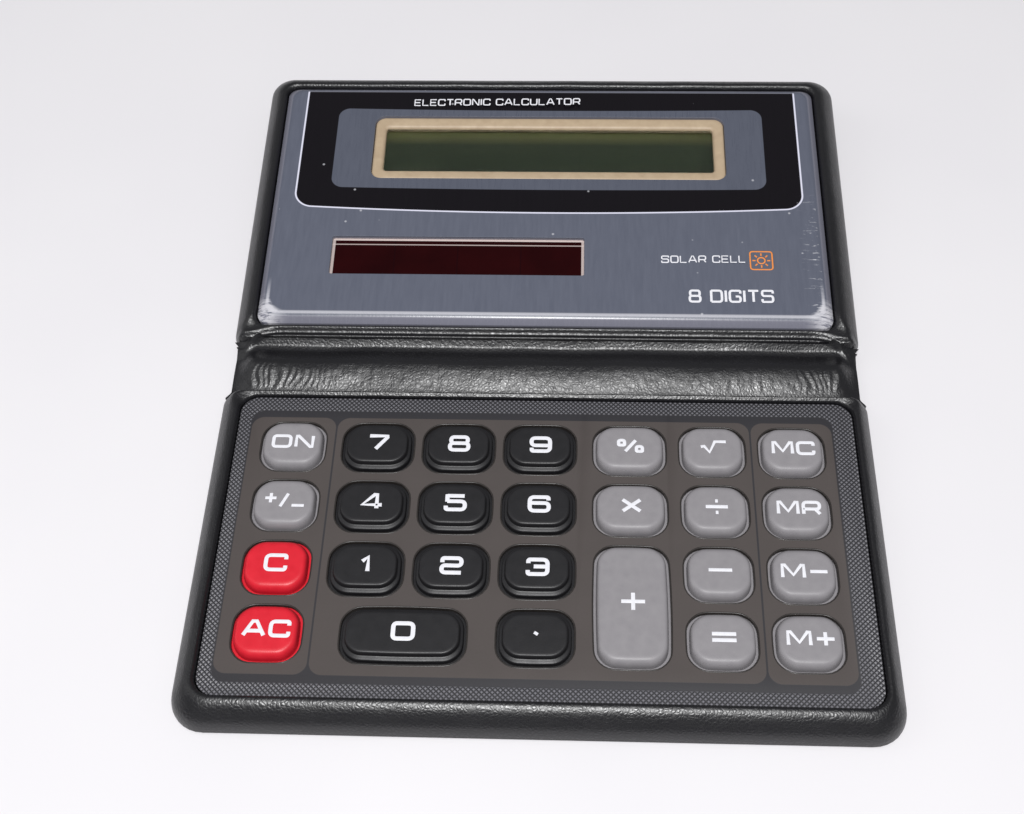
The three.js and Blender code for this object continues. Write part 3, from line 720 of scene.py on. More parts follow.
LINER_ACROSS, LINER_ALONG, LINER_THICK = 420, 36, 0.3
for name, near, far, bend in (
        ("liner_near", NEAR_END, SPINE_MIDDLE,
         ("keyboard_half", "spine", hinge(NEAR_END), hinge(SPINE_MIDDLE - 1.3))),
        ("liner_far", SPINE_MIDDLE, FAR_END,
         ("spine", "display_half", hinge(SPINE_MIDDLE + 1.3), hinge(FAR_END)))):
    liner = strip(name, near, far, pinched, LINER_ACROSS, LINER_ALONG, liner_height, LINER_THICK)
    finished(liner, leather, "vinyl", None, "spine_liner")
    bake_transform(liner)

# %% The ribbon cable inside the fold
RIBBON_HEIGHTS = ((-8.2, 1.5), (-6.2, 1.56), (-4.8, 1.38), (-2.7, 1.3), (2.6, 1.3),
                  (3.9, 1.35), (5.72, 1.96), (9.2, 2.5), (11.34, 2.68))
ribbon_finish = Finish("ribbon_film", tone(184, 132, 58), 0.35)
track = abs(ribbon_finish.x.repeated(1.1) - 0.55).above(0.28, 0.05)
ribbon_finish.set(
    Base_Color=ribbon_finish.mixed(track, tone(196, 120, 60), tone(150, 98, 40)),
    Roughness=0.3 + track * 0.15)
ribbon_finish.bump(track, 0.03)


def ribbon_height(x, y):
    return curve_through(RIBBON_HEIGHTS, y - SPINE_MIDDLE)


RIBBON_HALF_WIDTH, RIBBON_THICK = 11, 0.14
for name, near, far, along, bend in (
        ("ribbon_near", SPINE_MIDDLE - 8.2, SPINE_MIDDLE, 30, NEAR_BEND),
        ("ribbon_far", SPINE_MIDDLE, SPINE_MIDDLE + 11.34, 40, FAR_BEND)):
    ribbon = strip(name, near, far, lambda y: RIBBON_HALF_WIDTH, 22, along, ribbon_height,
                   RIBBON_THICK)
    finished(ribbon, ribbon_finish, "ribbon", None, "ribbon_cable")
    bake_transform(ribbon)

# %% [markdown]
# ## The key plate
#
# The plate round the keys is one moulding. Three printed fields of warm grey
# hold the keys, a smooth dark strip runs round them, and outside it the
# plastic is moulded with a fine weave. Each hole has a thin raised lip.

# %% Keys, their holes and the outline they share
KEY_FLANGE, KEY_CLEARANCE, KEY_BOW = 0.3, 0.35, 0.25
PANEL_TOP, KEY_TOP = 3.15, 4.25
key_names = sorted(name for name in frame["nodes"] if name.startswith("key_"))
holes = {name: cad_area(name, KEY_FLANGE) for name in key_names}


def bowed(piece, area, bow=KEY_BOW):
    """Lets the straight sides of a rectangular piece bow outwards."""
    left, right, near, far = (value * MM for value in area)
    middle = Vector(((left + right) / 2, (near + far) / 2))
    half = Vector(((right - left) / 2, (far - near) / 2))
    for vertex in piece.data.vertices:
        across = (vertex.co.x - middle.x) / half.x
        along = (vertex.co.y - middle.y) / half.y
        vertex.co.x += bow * MM * across * max(0, 1 - along * along)
        vertex.co.y += bow * MM * along * max(0, 1 - across * across)


def key_ring(area, across, along, radius, height):
    """A key's outline, drawn in by different margins across and along."""
    left, right, near, far = area
    margin_x, margin_y = across + KEY_BOW, along + KEY_BOW
    return ((left + margin_x, right - margin_x, near + margin_y, far - margin_y),
            (radius, radius), height)


# %% The plate
plate_rings = [(shrunk(panel_area, 0.06), (2.5, 2.5), 2.55), (panel_area, (2.5, 2.5), 2.62),
               (panel_area, (2.5, 2.5), 3.05), (shrunk(panel_area, 0.03), (2.5, 2.5), 3.12),
               (shrunk(panel_area, 0.1), (2.4, 2.4), PANEL_TOP)]
key_plate = loft("key_plate", plate_rings, top=True, bottom=True, side=4)
cutters = []
for name, area in holes.items():
    rings = [key_ring(area, 0, 0, 2.3, height) for height in (2.2, 3.6)]
    cutter = loft("cutter", rings, top=True, bottom=True, side=1.2, steps=6)
    bowed(cutter, area)
    cutters.append(cutter)
cut_away(key_plate, cutters)
smooth(key_plate, 30)

PRINT_FIELDS = ((-40.31, -28.54, -47.99, -9.45), (-28.3, 28.38, -47.99, -9.45),
                (28.62, 39.63, -47.99, -9.45))
WOVEN_FROM = (-40.5, 39.9, -49.17, -8.27)
plate_finish = Finish("key_plate_plastic", tone(60, 58, 58), 0.5)
from_spine = plate_finish.y - SPINE_MIDDLE
printed = 0
for field in PRINT_FIELDS:
    printed = printed + plate_finish.inside(plate_finish.x, from_spine, field, 1.7)
band = 1 - plate_finish.inside(plate_finish.x, from_spine, WOVEN_FROM, 1.9, 0.25)
WEAVE = 0.66
diagonal = [((plate_finish.x + plate_finish.y * sign) / WEAVE).repeated(1.0) - 0.5
            for sign in (1, -1)]
knots = 1 - (abs(diagonal[0]).at_least(abs(diagonal[1])) * 2.1).at_most(1)
grainy = plate_finish.grain(0.35, 2)
field_colour = plate_finish.mixed(plate_finish.grain(7, 4), tone(70, 64, 62), tone(80, 73, 71))
strip_colour = plate_finish.mixed(printed, tone(46, 45, 49), field_colour)
# Painted highlights: the raised knots of the moulded weave are painted pale, where light catches
# them on the dark plastic.
weave_painted_highlights = plate_finish.mixed(knots, tone(24, 24, 27), tone(140, 139, 146))
plate_finish.set(
    Base_Color=plate_finish.mixed(band, strip_colour, weave_painted_highlights),
    Roughness=0.5 + printed * 0.12 + grainy * 0.1 - band * 0.12,
)
plate_finish.bump(knots * band + grainy * 0.08 * printed, 0.12)
finished(key_plate, plate_finish, "key_panel", "keyboard_half", "keyboard_panel")

# %% The lips round the holes
lips = []
for name, area in holes.items():
    rings = [key_ring(area, across, across, 2.3 - across, height) for across, height in (
        (-0.2, 3.12), (-0.17, 3.17), (-0.1, 3.2), (-0.02, 3.17), (0.02, 3.08), (0.02, 2.6),
        (-0.1, 2.63))]
    lip = loft("lip", rings, closed=True, side=1.2, steps=6)
    bowed(lip, area)
    lips.append(lip)
pick(*lips)
bpy.ops.object.join()
hole_lips = lips[0]
hole_lips.name = "key_hole_lips"
smooth(hole_lips, 60)
lip_finish = Finish("lip_plastic", tone(52, 48, 46), 0.28)
lip_finish.set(Base_Color=lip_finish.mixed(lip_finish.grain(0.8, 3), tone(34, 31, 30),
                                           tone(56, 52, 50)),
               Roughness=0.24 + lip_finish.grain(0.6, 3) * 0.2)
finished(hole_lips, lip_finish, "key_panel", "keyboard_half")

# %% [markdown]
# ## The keys
#
# There are four sizes of key. Each is lofted once, from the hidden flange that
# stops it in the plate up to a flat top with softly rounded edges, and copied
# to its places. A key keeps its own mesh, because each one moves by itself.

# %% Key finishes
def key_plastic(name, colour, dark, roughness):
    plastic = Finish(name, tone(*colour), roughness, Specular_IOR_Level=0.5)
    scuffs = plastic.grain(1.4, 4)
    specks = plastic.cells(1.1, "F1")
    plastic.set(
        Base_Color=plastic.mixed(scuffs * 0.6 + specks * 0.4, tone(*dark), tone(*colour)),
        Roughness=roughness - 0.05 + scuffs * 0.16,
    )
    plastic.bump(plastic.grain(0.12, 2), 0.012)
    return plastic


key_finishes = {
    "black_key": key_plastic("black_key_plastic", (31, 30, 33), (24, 24, 26), 0.4),
    "grey_key": key_plastic("grey_key_plastic", (148, 145, 148), (134, 131, 135), 0.42),
    "red_key": key_plastic("red_key_plastic", (226, 34, 52), (206, 24, 42), 0.36),
}

KEY_SECTION = (
    # across, along, corner radius, height
    (-0.65, -0.65, 2.5, 2.2), (-0.65, -0.65, 2.5, 2.5), (0.0, 0.0, 2.2, 2.52),
    (0.0, 0.0, 2.2, 3.1), (0.05, 0.08, 2.2, 3.5), (0.1, 0.2, 2.15, 3.8), (0.17, 0.34, 2.1, 3.98),
    (0.28, 0.5, 2.0, 4.12), (0.42, 0.66, 1.9, 4.205), (0.6, 0.86, 1.8, 4.24),
    (0.85, 1.1, 1.6, KEY_TOP),
)
# The black digit keys stand on a wider skirt, and their tops have a crisper edge.
SKIRTED_SECTION = KEY_SECTION[:4] + (
    (0.04, 0.04, 2.2, 3.3), (0.13, 0.13, 2.15, 3.38), (0.3, 0.42, 2.05, 3.4),
    (0.4, 0.56, 2.0, 3.48), (0.44, 0.62, 2.0, 3.95), (0.48, 0.67, 1.95, 4.12),
    (0.56, 0.76, 1.9, 4.21), (0.68, 0.88, 1.8, 4.245), (0.9, 1.1, 1.6, KEY_TOP),
)
models = {}
keys = {}
for name in key_names:
    body_area = shrunk(holes[name], KEY_CLEARANCE)
    left, right, near, far = body_area
    slot = frame["nodes"][name].data.materials[0].name
    size = (slot == "black_key", round(right - left, 2), round(far - near, 2))
    middle = Vector(((left + right) / 2, (near + far) / 2, 0))
    if size not in models:
        section = SKIRTED_SECTION if slot == "black_key" else KEY_SECTION
        rings = [key_ring(body_area, *step) for step in section]
        key = loft(name, rings, top=True, bottom=True, side=0.9)
        bowed(key, body_area)
        smooth(key, 50)
        models[size] = (key, middle)
    else:
        model, model_middle = models[size]
        key = model.copy()
        key.data = model.data.copy()
        bpy.context.scene.collection.objects.link(key)
        key.data.transform(Matrix.Translation((middle - model_middle) * MM))
    keys[name] = key
for name, key in keys.items():
    slot = frame["nodes"][name].data.materials[0].name
    key.name = name.replace("key_", "cap_")
    key.data.name = key.name
    finished(key, key_finishes[slot], slot, name, name)
print(len(models), "sizes of key,", len(keys), "keys")

# %% [markdown]
# ## Key legends
#
# The legends are squared, wide letters in white. Text in Blender's own font
# would be too narrow and round, so each sign is drawn here as a few strokes on
# a square, with its corners rounded, and a stroke is a curve with a round
# section that is flattened until it is as thin as print.

# %% Strokes of the signs
# A sign is its width over its height, and its strokes. A stroke is a list of places from
# 0 to 1 across and up, and a closed one ends where it starts. "p" is a small plus and "_"
# a low minus, for the sign change, and ":" is the sign for division.
ROUND, SHARP = 0.3, 0.0
SIGNS = {
    "0": (1.2, ROUND, [[(0, .5), (0, 1), (1, 1), (1, 0), (0, 0), (0, .5)]]),
    "1": (0.45, SHARP, [[(0, .68), (.8, 1), (.8, 0)]]),
    "2": (1.2, ROUND, [[(.02, .7), (.02, 1), (1, 1), (1, .48), (0, .5), (0, 0), (1, 0)]]),
    "3": (1.2, ROUND, [[(.02, .74), (.02, 1), (1, 1), (1, 0), (0, 0), (0, .26)],
                       [(.3, .52), (.95, .52)]]),
    "4": (1.25, SHARP, [[(.74, 0), (.74, 1), (.6, 1), (0, .26), (1, .26)]]),
    "5": (1.2, ROUND, [[(.96, 1), (.5, 1), (.06, 1)], [(.06, 1.1), (.06, .56)],
                       [(.06, .6), (1, .6), (1, 0), (0, 0), (0, .26)]]),
    "6": (1.2, ROUND, [[(.98, .76), (.98, 1), (0, 1), (0, 0), (1, 0), (1, .57), (.1, .57)]]),
    "7": (1.15, SHARP, [[(0, 1), (1, 1), (1, .9), (.38, 0)]]),
    "8": (1.2, ROUND, [[(.5, .52), (.05, .52), (.05, 1), (.95, 1), (.95, .52), (.5, .52)],
                       [(.5, .52), (0, .52), (0, 0), (1, 0), (1, .52), (.5, .52)]]),
    "9": (1.2, ROUND, [[(.02, .24), (.02, 0), (1, 0), (1, 1), (0, 1), (0, .43), (.9, .43)]]),
    ".": (0.1, SHARP, [[(.0, .42), (1, .58)]]),
    "+": (1.15, SHARP, [[(0, .5), (1, .5)], [(.5, 0), (.5, 1)]]),
    "-": (1.15, SHARP, [[(0, .5), (1, .5)]]),
    "p": (1.0, SHARP, [[(0, .66), (1, .66)], [(.5, .3), (.5, 1.02)]]),
    "_": (1.1, SHARP, [[(0, .1), (1, .1)]]),
    "=": (1.15, SHARP, [[(0, .7), (1, .7)], [(0, .3), (1, .3)]]),
    "x": (1.1, SHARP, [[(0, .05), (1, .95)], [(0, .95), (1, .05)]]),
    ":": (1.15, SHARP, [[(0, .5), (1, .5)], [(.44, 1), (.56, 1)], [(.44, 0), (.56, 0)]]),
    "/": (0.6, SHARP, [[(0, 0), (1, 1)]]),
    "%": (1.3, ROUND, [[(.28, 0), (.72, 1)], [(.12, .55), (0, .55), (0, 1), (.25, 1), (.25, .55),
                       (.12, .55)], [(.88, 0), (.75, 0), (.75, .45), (1, .45), (1, 0), (.88, 0)]]),
    "v": (1.3, SHARP, [[(0, .5), (.14, .56), (.34, .02), (.56, .98), (1, .98)]]),
    "A": (1.35, SHARP, [[(0, 0), (.4, 1), (.6, 1), (1, 0)], [(.17, .32), (.83, .32)]]),
    "C": (1.2, ROUND, [[(1, .72), (1, 1), (0, 1), (0, 0), (1, 0), (1, .28)]]),
    "D": (1.2, ROUND, [[(0, 1), (0, .5), (0, 0)], [(0, 0), (1, 0), (1, 1), (0, 1)]]),
    "E": (1.1, SHARP, [[(1, 1), (0, 1), (0, 0), (1, 0)], [(0, .5), (.9, .5)]]),
    "G": (1.2, ROUND, [[(1, .74), (1, 1), (0, 1), (0, 0), (1, 0), (1, .48), (.55, .48)]]),
    "I": (0.05, SHARP, [[(.5, 0), (.5, 1)]]),
    "L": (1.05, SHARP, [[(0, 1), (0, 0), (1, 0)]]),
    "M": (1.45, SHARP, [[(0, 0), (0, 1), (.12, 1), (.5, .2), (.88, 1), (1, 1), (1, 0)]]),
    "N": (1.2, SHARP, [[(0, 0), (0, 1), (.12, 1), (.88, 0), (1, 0), (1, 1)]]),
    "O": (1.25, ROUND, [[(0, .5), (0, 1), (1, 1), (1, 0), (0, 0), (0, .5)]]),
    "R": (1.2, ROUND, [[(0, 0), (0, 1), (1, 1), (1, .42), (0, .42)], [(.72, .42), (1, 0)]]),
    "S": (1.2, ROUND, [[(1, .76), (1, 1), (0, 1), (0, .53), (1, .53), (1, 0), (0, 0), (0, .24)]]),
    "T": (1.15, SHARP, [[(0, 1), (1, 1)], [(.5, 1), (.5, 0)]]),
    "U": (1.2, ROUND, [[(0, 1), (0, 0), (1, 0), (1, 1)]]),
    " ": (0.4, SHARP, []),
}
CORNER_POINTS = 5
SIGN_GAP = 0.42  # as a share of the height
INK_THICK = 0.03
STROKE_LIFT = 0.06  # before flattening, so that crossing strokes don't share a surface


def with_round_corners(points, radius):
    """The same path with each corner turned in a small arc."""
    path = [points[0]]
    for before, corner, after in zip(points, points[1:], points[2:]):
        to_before, to_after = (before - corner), (after - corner)
        reach = min(radius, to_before.length * 0.49, to_after.length * 0.49)
        straight = abs(to_before.normalized().dot(to_after.normalized())) > 0.98
        if radius == 0 or straight:
            path.append(corner)
            continue
        start = corner + to_before.normalized() * reach
        end = corner + to_after.normalized() * reach
        for step in range(CORNER_POINTS + 1):
            share = step / CORNER_POINTS
            path.append((start * (1 - share) + corner * share) * (1 - share)
                        + (corner * (1 - share) + end * share) * share)
    return path + [points[-1]]


def flat_strokes(name, lines, stroke, flatness, middle, lift=0.0):
    """Round strokes along lines of places in mm, pressed flat, about a place."""
    data = bpy.data.curves.new(name, "CURVE")
    data.dimensions = "3D"
    data.bevel_depth, data.bevel_resolution = stroke / 2 * MM, 1
    data.use_fill_caps = True
    for number, line in enumerate(lines):
        spline = data.splines.new("POLY")
        spline.points.add(len(line) - 1)
        for point, (x, y) in zip(spline.points, line):
            point.co = (x * MM, y * MM, number * lift * MM, 1)
    curve = bpy.data.objects.new(name, data)
    bpy.context.scene.collection.objects.link(curve)
    pick(curve)
    bpy.ops.object.convert(target="MESH")
    piece = bpy.context.object
    piece.name = name
    piece.data.transform(Matrix.Translation(Vector(middle) * MM)
                         @ Matrix.Diagonal((1, 1, flatness, 1)))
    work(piece, everything, bpy.ops.mesh.normals_make_consistent, inside=False)
    return piece


def word(name, text, height, stroke, middle, width=None):
    """Strokes that spell a text, in mm, centred at a place. width squeezes it to fit."""
    lines = []
    cursor = 0.0
    for sign in text:
        share, radius, strokes = SIGNS[sign]
        across = share * height
        for points in strokes:
            places = [Vector((cursor + x * across, y * height)) for x, y in points]
            lines.append(with_round_corners(places, radius * height))
        cursor += across + SIGN_GAP * height
    total = cursor - SIGN_GAP * height
    squeeze = (width / total) if width else 1.0
    lines = [[((place.x - total / 2) * squeeze, place.y - height / 2) for place in line]
             for line in lines]
    piece = flat_strokes(name, lines, stroke, INK_THICK / stroke * 2, middle, STROKE_LIFT)
    smooth(piece, 50)
    return piece


# %% Print on the keys
ink = Finish("white_ink", tone(236, 236, 240), 0.5)
worn = ink.grain(0.5, 3)
ink.set(Base_Color=ink.mixed(worn, tone(244, 244, 250), tone(222, 222, 228)),
        Roughness=0.42 + worn * 0.15)
ink.bump(ink.grain(0.15, 2), 0.01)
DIGIT = (2.1, 0.56)
LETTER = (1.78, 0.46)
LEGENDS = {
    "on": ("ON", (1.75, 0.46), 5.4), "sign": ("p/_", (2.0, 0.42), 5.3),
    "c": ("C", (2.1, 0.52), 2.6), "ac": ("AC", (1.95, 0.52), 5.7),
    "point": (".", DIGIT, None), "percent": ("%", LETTER, 3.2),
    "root": ("v", LETTER, 3.4), "multiply": ("x", (1.9, 0.5), 2.3),
    "divide": (":", (1.75, 0.5), 2.9), "plus": ("+", (2.4, 0.5), 3.0),
    "minus": ("-", LETTER, 3.0), "equals": ("=", (2.15, 0.5), 3.0),
    "mc": ("MC", LETTER, 5.4), "mr": ("MR", LETTER, 5.4),
    "m_minus": ("M-", LETTER, 5.7), "m_plus": ("M+", LETTER, 5.7),
}
LEGEND_LIFT = 0.15
for name, key in keys.items():
    short = name.replace("key_", "")
    text, (height, stroke), width = LEGENDS.get(short, (short, DIGIT, None))
    left, right, near, far = holes[name]
    place = ((left + right) / 2 + 0.1, (near + far) / 2 + LEGEND_LIFT, KEY_TOP + 0.005)
    legend = word("legend_" + short, text, height, stroke, place, width)
    finished(legend, ink, "key_panel", name)

# %% [markdown]
# ## The face of the display half
#
# The face is a blue-grey plastic plate with a sloping edge, and openings for
# the display's frame and the solar cell. Its print is flat: a black field
# with a white line round it, whose lower side bulges a little, and in it a grey
# field round the display. The print is drawn by the finish, from the place on
# the plate, and the words are thin raised strokes like the legends.

# %% The face plate
FACE_TOP, FACE_BEVEL_LOW, FACE_UNDER = 4.45, 3.4, 3.85
BEZEL_AREA = (-27.35, 27.35, 28.9, 41.35)
SOLAR_AREA = (-32.04, 5.66, 10.8, 17.65)
WINDOW_AREA = (-25.57, 25.57, 30.75, 39.27)


def even(radius):
    return (radius, radius)


face_rings = [(shrunk(FACE_AREA, inset), even(radius), height) for inset, radius, height in (
    (1.25, 0.5, FACE_UNDER), (1.25, 0.5, 2.54), (0, 1.6, 2.5), (0, 1.6, FACE_BEVEL_LOW - 0.05),
    (0.05, 1.6, FACE_BEVEL_LOW + 0.08), (0.6, 1.6, FACE_TOP - 0.38), (0.85, 1.6, FACE_TOP - 0.22),
    (1.05, 1.6, FACE_TOP - 0.12), (1.25, 1.6, FACE_TOP - 0.045), (1.45, 1.55, FACE_TOP - 0.012),
    (1.62, 1.5, FACE_TOP))]
face_plate = loft("face_plate", face_rings, top=True, bottom=True, side=4)
CUT_FROM, CUT_TO = 2.0, 5.0
WHOLE_SIDE = 60
face_cutters = []
for area, radius in ((BEZEL_AREA, 1.6), (SOLAR_AREA, 0.35)):
    rings = [(area, even(radius), height) for height in (CUT_FROM, CUT_TO)]
    face_cutters.append(loft("cutter", rings, top=True, bottom=True, side=WHOLE_SIDE, steps=6))
cut_away(face_plate, face_cutters)


def is_near(point, area):
    """True for a point on the outline of an area."""
    left, right, near, far = area
    inside = left - 0.01 < point.x < right + 0.01 and near - 0.01 < point.y < far + 0.01
    deep = left + 1 < point.x < right - 1 and near + 1 < point.y < far - 1
    return inside and not deep


def on_opening(edge):
    """True for the upper edges of the two openings."""
    ends = [face_plate.data.vertices[v].co / MM for v in edge.vertices]
    return all(abs(end.z - FACE_TOP) < 0.01 for end in ends) and any(
        all(is_near(end, area) for end in ends) for area in (BEZEL_AREA, SOLAR_AREA))


work(face_plate, on_opening, bpy.ops.mesh.bevel, "EDGE", offset=0.12 * MM, segments=2)
smooth(face_plate, 25)
# The flat top decides the normals at its edges, so it shades evenly up to the openings.
weigh = face_plate.modifiers.new("weigh", "WEIGHTED_NORMAL")
weigh.weight, weigh.keep_sharp = 100, True
bpy.ops.object.modifier_apply(modifier=weigh.name)
raised(face_plate)

face = Finish("face_plastic", tone(94, 97, 110), 0.36, tilted=True, Specular_IOR_Level=0.42)
BULGE = 1.1
reach = face.x / 38.25
bulged = face.y + BULGE * (1 - reach * reach)
FIELD = (-38.45, 38.45, 23.5, 60)
black = face.inside(face.x, bulged, FIELD, 2.5)
with_line = face.inside(face.x, bulged, (-38.7, 38.7, 23.25, 60), 2.75)
grey_bulged = face.y + 0.45 * (1 - reach * reach)
grey = face.inside(face.x, grey_bulged, (-33.3, 33.3, 27.15, 43.05), 1.8)
on_top = face.z.above(FACE_TOP - 0.04, 0.05)
brushed = face.grain(1, 4, face.stretched(2.2, 0.25))
scratch_lines = face.grain(1, 5, face.stretched(0.5, 3.2), roughness=0.7)
right_edge = face.x.above(38.6, 2.2) * (1 - face.y.above(24, 6))
rubbed = 1 - face.inside(face.x, face.y, shrunk(FACE_AREA, 1.5), 3.0, 0.5)
corner_wear = rubbed * abs(face.x).above(38.5, 3) * (1 - face.y.above(6.5, 3))
wear = (scratch_lines.above(0.62, 0.06) * right_edge + scratch_lines.above(0.46, 0.1)
        * corner_wear * 0.9).at_most(1)
specks = 1 - face.cells(3.4).above(0.055, 0.03)
body_colour = face.mixed(brushed, tone(86, 90, 104), tone(100, 104, 118))
grey_colour = face.mixed(brushed, tone(80, 84, 97), tone(92, 96, 109))
colour = face.mixed(with_line * on_top, body_colour, tone(222, 222, 238))
colour = face.mixed(black * on_top, colour, tone(8, 4, 11))
colour = face.mixed(grey * on_top, colour, grey_colour)
colour = face.mixed((wear * on_top + specks * 0.5 * on_top).at_most(1), colour, tone(212, 212, 218))
edge_light = 1 - face.z.above(FACE_TOP - 0.2, 0.1)
colour = face.mixed(edge_light * 0.55, colour, tone(140, 138, 150))
# Painted highlight: a light band along the upper rounding of the bevel, on the near side only,
# where light glints off the edge.
painted_bevel_glint = (face.inside(face.x, face.y, shrunk(FACE_AREA, 1.15), 1.7, 0.2)
         * (1 - face.inside(face.x, face.y, shrunk(FACE_AREA, 1.6), 1.7, 0.2))
         * (1 - face.y.above(8, 4)))
colour = face.mixed(painted_bevel_glint * 0.6, colour, tone(214, 213, 220))
colour = face.mixed(corner_wear * wear, colour, tone(205, 204, 210))
face.set(Base_Color=colour,
         Roughness=0.22 + on_top * 0.09 + brushed * 0.1 + wear * 0.2 - black * 0.08)
face.bump(brushed * 0.4 + wear * 0.6, 0.02)
finished(face_plate, face, "face", "display_half", "face_panel")

# %% Words on the face
PRINT_LIFT = 0.004
for name, text, height, stroke, middle, width in (
        ("print_descriptor", "ELECTRONIC CALCULATOR", 1.2, 0.22, (-8.3, 44.2), 26.2),
        ("print_solar_cell", "SOLAR CELL", 1.15, 0.2, (23.2, 13.85), 12.2),
        ("print_digits", "8 DIGITS", 1.95, 0.36, (27.0, 7.3), 12.0)):
    words = word(name, text, height, stroke, (*middle, FACE_TOP + PRINT_LIFT), width)
    raised(words)
    finished(words, ink, "key_panel", "display_half")

# %% The sun sign
SUN = (31.7, 13.75)
SUN_RAYS, SUN_CIRCLE = 8, 20
SUN_STROKE, SUN_FLATNESS = 0.26, 0.12
strokes = [[(math.cos(a) * 0.55, math.sin(a) * 0.55)
            for a in (2 * math.pi * n / SUN_CIRCLE for n in range(SUN_CIRCLE + 1))]]
for ray in range(SUN_RAYS):
    turn = 2 * math.pi * ray / SUN_RAYS
    strokes.append([(math.cos(turn) * reach, math.sin(turn) * reach) for reach in (0.85, 1.3)])
frame_corners = [Vector(c) * 1.62 for c in ((0, 1), (1, 1), (1, -1), (-1, -1), (-1, 1), (0, 1))]
strokes.append(with_round_corners(frame_corners, 0.45))
sun = flat_strokes("print_sun", strokes, SUN_STROKE, SUN_FLATNESS, (*SUN, FACE_TOP + PRINT_LIFT))
raised(sun)
orange_ink = Finish("orange_ink", tone(240, 150, 80), 0.45)
orange_ink.set(Base_Color=orange_ink.mixed(orange_ink.grain(0.4, 2), tone(244, 156, 88),
                                           tone(226, 136, 66)))
finished(sun, orange_ink, "key_panel", "display_half")

# %% The display's frame
frame_rings = [
    (BEZEL_AREA, even(1.5), 3.1), (BEZEL_AREA, even(1.5), 3.98),
    (shrunk(BEZEL_AREA, 0.1), even(1.45), 4.13), (shrunk(BEZEL_AREA, 0.25), even(1.35), 4.19),
    (shrunk(BEZEL_AREA, 0.55), even(1.1), 4.2), (shrunk(WINDOW_AREA, -0.5), even(0.9), 4.16),
    (shrunk(WINDOW_AREA, -0.3), even(0.8), 4.1), (shrunk(WINDOW_AREA, -0.05), even(0.6), 3.88),
    (WINDOW_AREA, even(0.5), 3.7), (WINDOW_AREA, even(0.5), 3.14)]
frame_rings = [(shrunk(area, 0.06) if number < 5 else area, radii, height)
               for number, (area, radii, height) in enumerate(frame_rings)]
display_frame = loft("display_frame", frame_rings, closed=True, side=4)
smooth(display_frame, 40)
raised(display_frame)
beige = Finish("beige_plastic", tone(180, 158, 130), 0.42, tilted=True)
dusty = beige.grain(1.2, 4)
beige.set(Base_Color=beige.mixed(dusty, tone(196, 176, 148), tone(168, 146, 120)),
          Roughness=0.38 + dusty * 0.15)
beige.bump(beige.grain(0.3, 2), 0.012)
finished(display_frame, beige, "bezel", "display_half", "lcd_bezel")

# %% [markdown]
# ## The parts that keep their CAD shape
#
# Glass, film, cells, board, plate and case are flat or plain parts whose CAD
# shape is right, so each one only gets a finish. Most of them can be seen only
# when the calculator is taken apart.

# %% Finishes of the kept parts
def kept(finish, *nodes):
    for name in nodes:
        materials = frame["nodes"][name].data.materials
        for number in range(len(materials)):
            materials[number] = finish.material


def plain(name, light, dark, roughness, size, depth=0.02, **settings):
    """A finish with soft variation of colour, roughness and relief at one scale."""
    finish = Finish(name, tone(*light), roughness, **settings)
    mottle = finish.grain(size, 4)
    finish.set(Base_Color=finish.mixed(mottle, tone(*light), tone(*dark)),
               Roughness=roughness - 0.06 + mottle * 0.14)
    finish.bump(mottle, depth)
    return finish


pane = Finish("clear_pane", (0.9, 0.93, 0.92), 0.06, Transmission_Weight=1.0, IOR=1.1)
pane.set(Roughness=0.05 + pane.grain(3, 3) * 0.05)
kept(pane, "lcd_window")
glass = Finish("display_glass", (0.8, 0.86, 0.82), 0.05, Transmission_Weight=0.9, IOR=1.2)
glass.set(Roughness=0.04 + glass.grain(4, 2) * 0.04)
kept(glass, "lcd_front_glass", "lcd_rear_glass")

film = Finish("polarizer_film", tone(50, 58, 45), 0.3, tilted=True, Specular_IOR_Level=0.6)
# Painted reflection: the top of the film is painted a lighter olive band, as light reflected there.
painted_reflection_band = film.y.above(37.6, 1.6)
cloud = film.grain(1, 3, film.stretched(0.12, 0.5))
olive = film.mixed(cloud, tone(44, 52, 38), tone(62, 68, 50))
film.set(Base_Color=film.mixed(painted_reflection_band * 0.8, olive, tone(112, 110, 70)),
         Roughness=0.26 + cloud * 0.1)
kept(film, "lcd_polarizer")

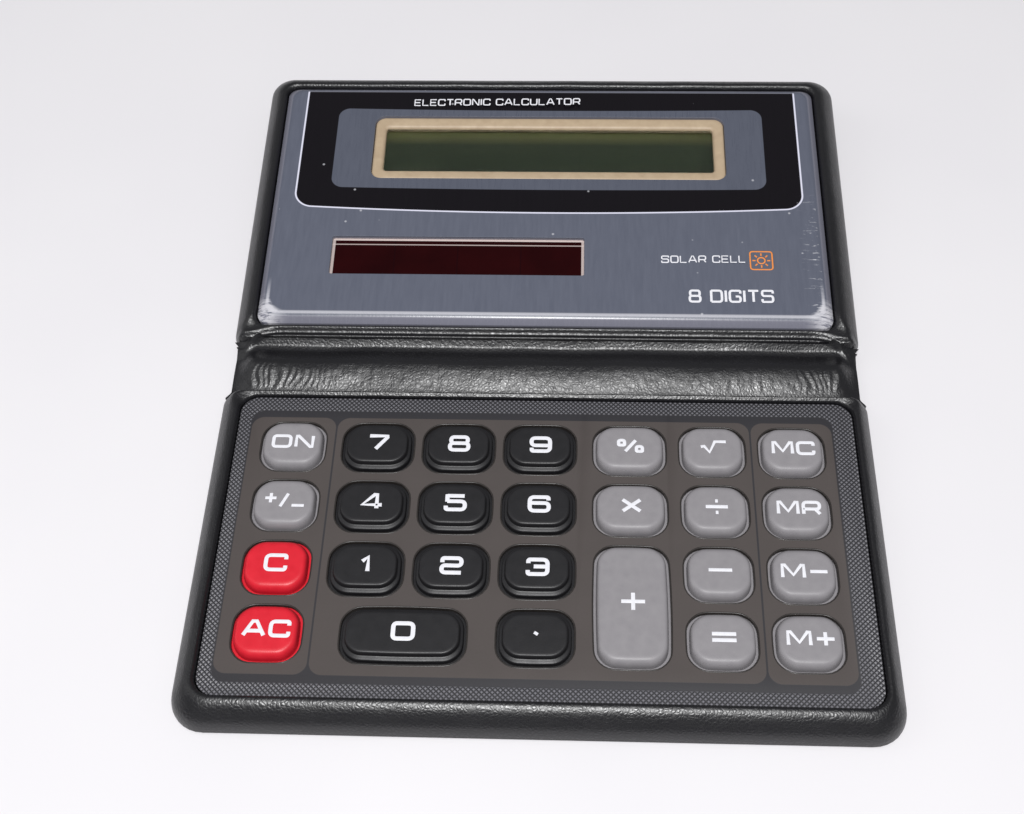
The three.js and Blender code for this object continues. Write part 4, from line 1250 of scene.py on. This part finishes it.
cell = Finish("solar_glass", tone(36, 2, 4), 0.12, tilted=True, Specular_IOR_Level=0.1)
CELL_GAP = 9.43
seam = abs((cell.x - SOLAR_AREA[0]).repeated(CELL_GAP) - CELL_GAP / 2).above(
    CELL_GAP / 2 - 0.1, 0.08)
# Painted highlights: light lines of reflection along the top edge of the cell, a second line just
# below it, and lines at both ends.
painted_top_highlight = cell.y.above(17.3, 0.05)
painted_second_highlight = cell.y.above(16.5, 0.05) * (1 - cell.y.above(16.68, 0.05))
painted_end_highlights = abs(cell.x + 13.19).above(18.45, 0.06)
# lines holds the three painted highlights together, mixed in as light colour below.
lines = (painted_top_highlight + painted_second_highlight * 0.7 + painted_end_highlights * 0.8).at_most(1)
maroon = cell.mixed(cell.grain(5, 3), tone(24, 2, 4), tone(44, 6, 8))
cell_colour = cell.mixed(seam * 0.5, maroon, tone(24, 4, 8))
cell.set(Base_Color=cell.mixed(lines, cell_colour, tone(206, 190, 186)),
         Roughness=0.1 + cell.grain(8, 2) * 0.08)
kept(cell, "solar_cell")

# The colours are the lighter and the darker one, and then come roughness and mottle size.
for nodes, made in (
        (["keyboard_back_plate"] + [f"case_screw_{number}" for number in range(1, 5)],
         plain("brushed_steel", (160, 160, 164), (128, 128, 132), 0.36, 1.5, Metallic=1.0)),
        (["keyboard_circuit", "main_board"],
         plain("green_board", (52, 110, 66), (36, 88, 50), 0.45, 0.8)),
        (["contact_mat", "zebra_strip"],
         plain("grey_rubber", (86, 85, 84), (66, 65, 64), 0.75, 0.5)),
        (["display_back_case", "display_front_case", "capacitor"],
         plain("case_plastic", (36, 36, 38), (26, 26, 28), 0.55, 0.4)),
        (["lcd_reflector"],
         plain("reflector_foil", (170, 170, 146), (148, 148, 124), 0.3, 2.0, Metallic=0.8)),
        (["processor_blob"], plain("black_resin", (20, 20, 20), (30, 30, 30), 0.3, 0.6)),
        (["solar_wire_red"], plain("red_wire_sleeve", (176, 32, 32), (150, 24, 24), 0.45, 0.4)),
        (["solar_wire_black"], plain("black_wire_sleeve", (26, 26, 26), (38, 38, 38), 0.45, 0.4)),
        (["keyboard_foam", "display_foam"],
         plain("foam_sheet", (140, 140, 134), (104, 104, 98), 0.95, 0.25, depth=0.08))):
    kept(made, *nodes)
print("kept parts:", sum(not o.hide_render for o in frame["nodes"].values()))
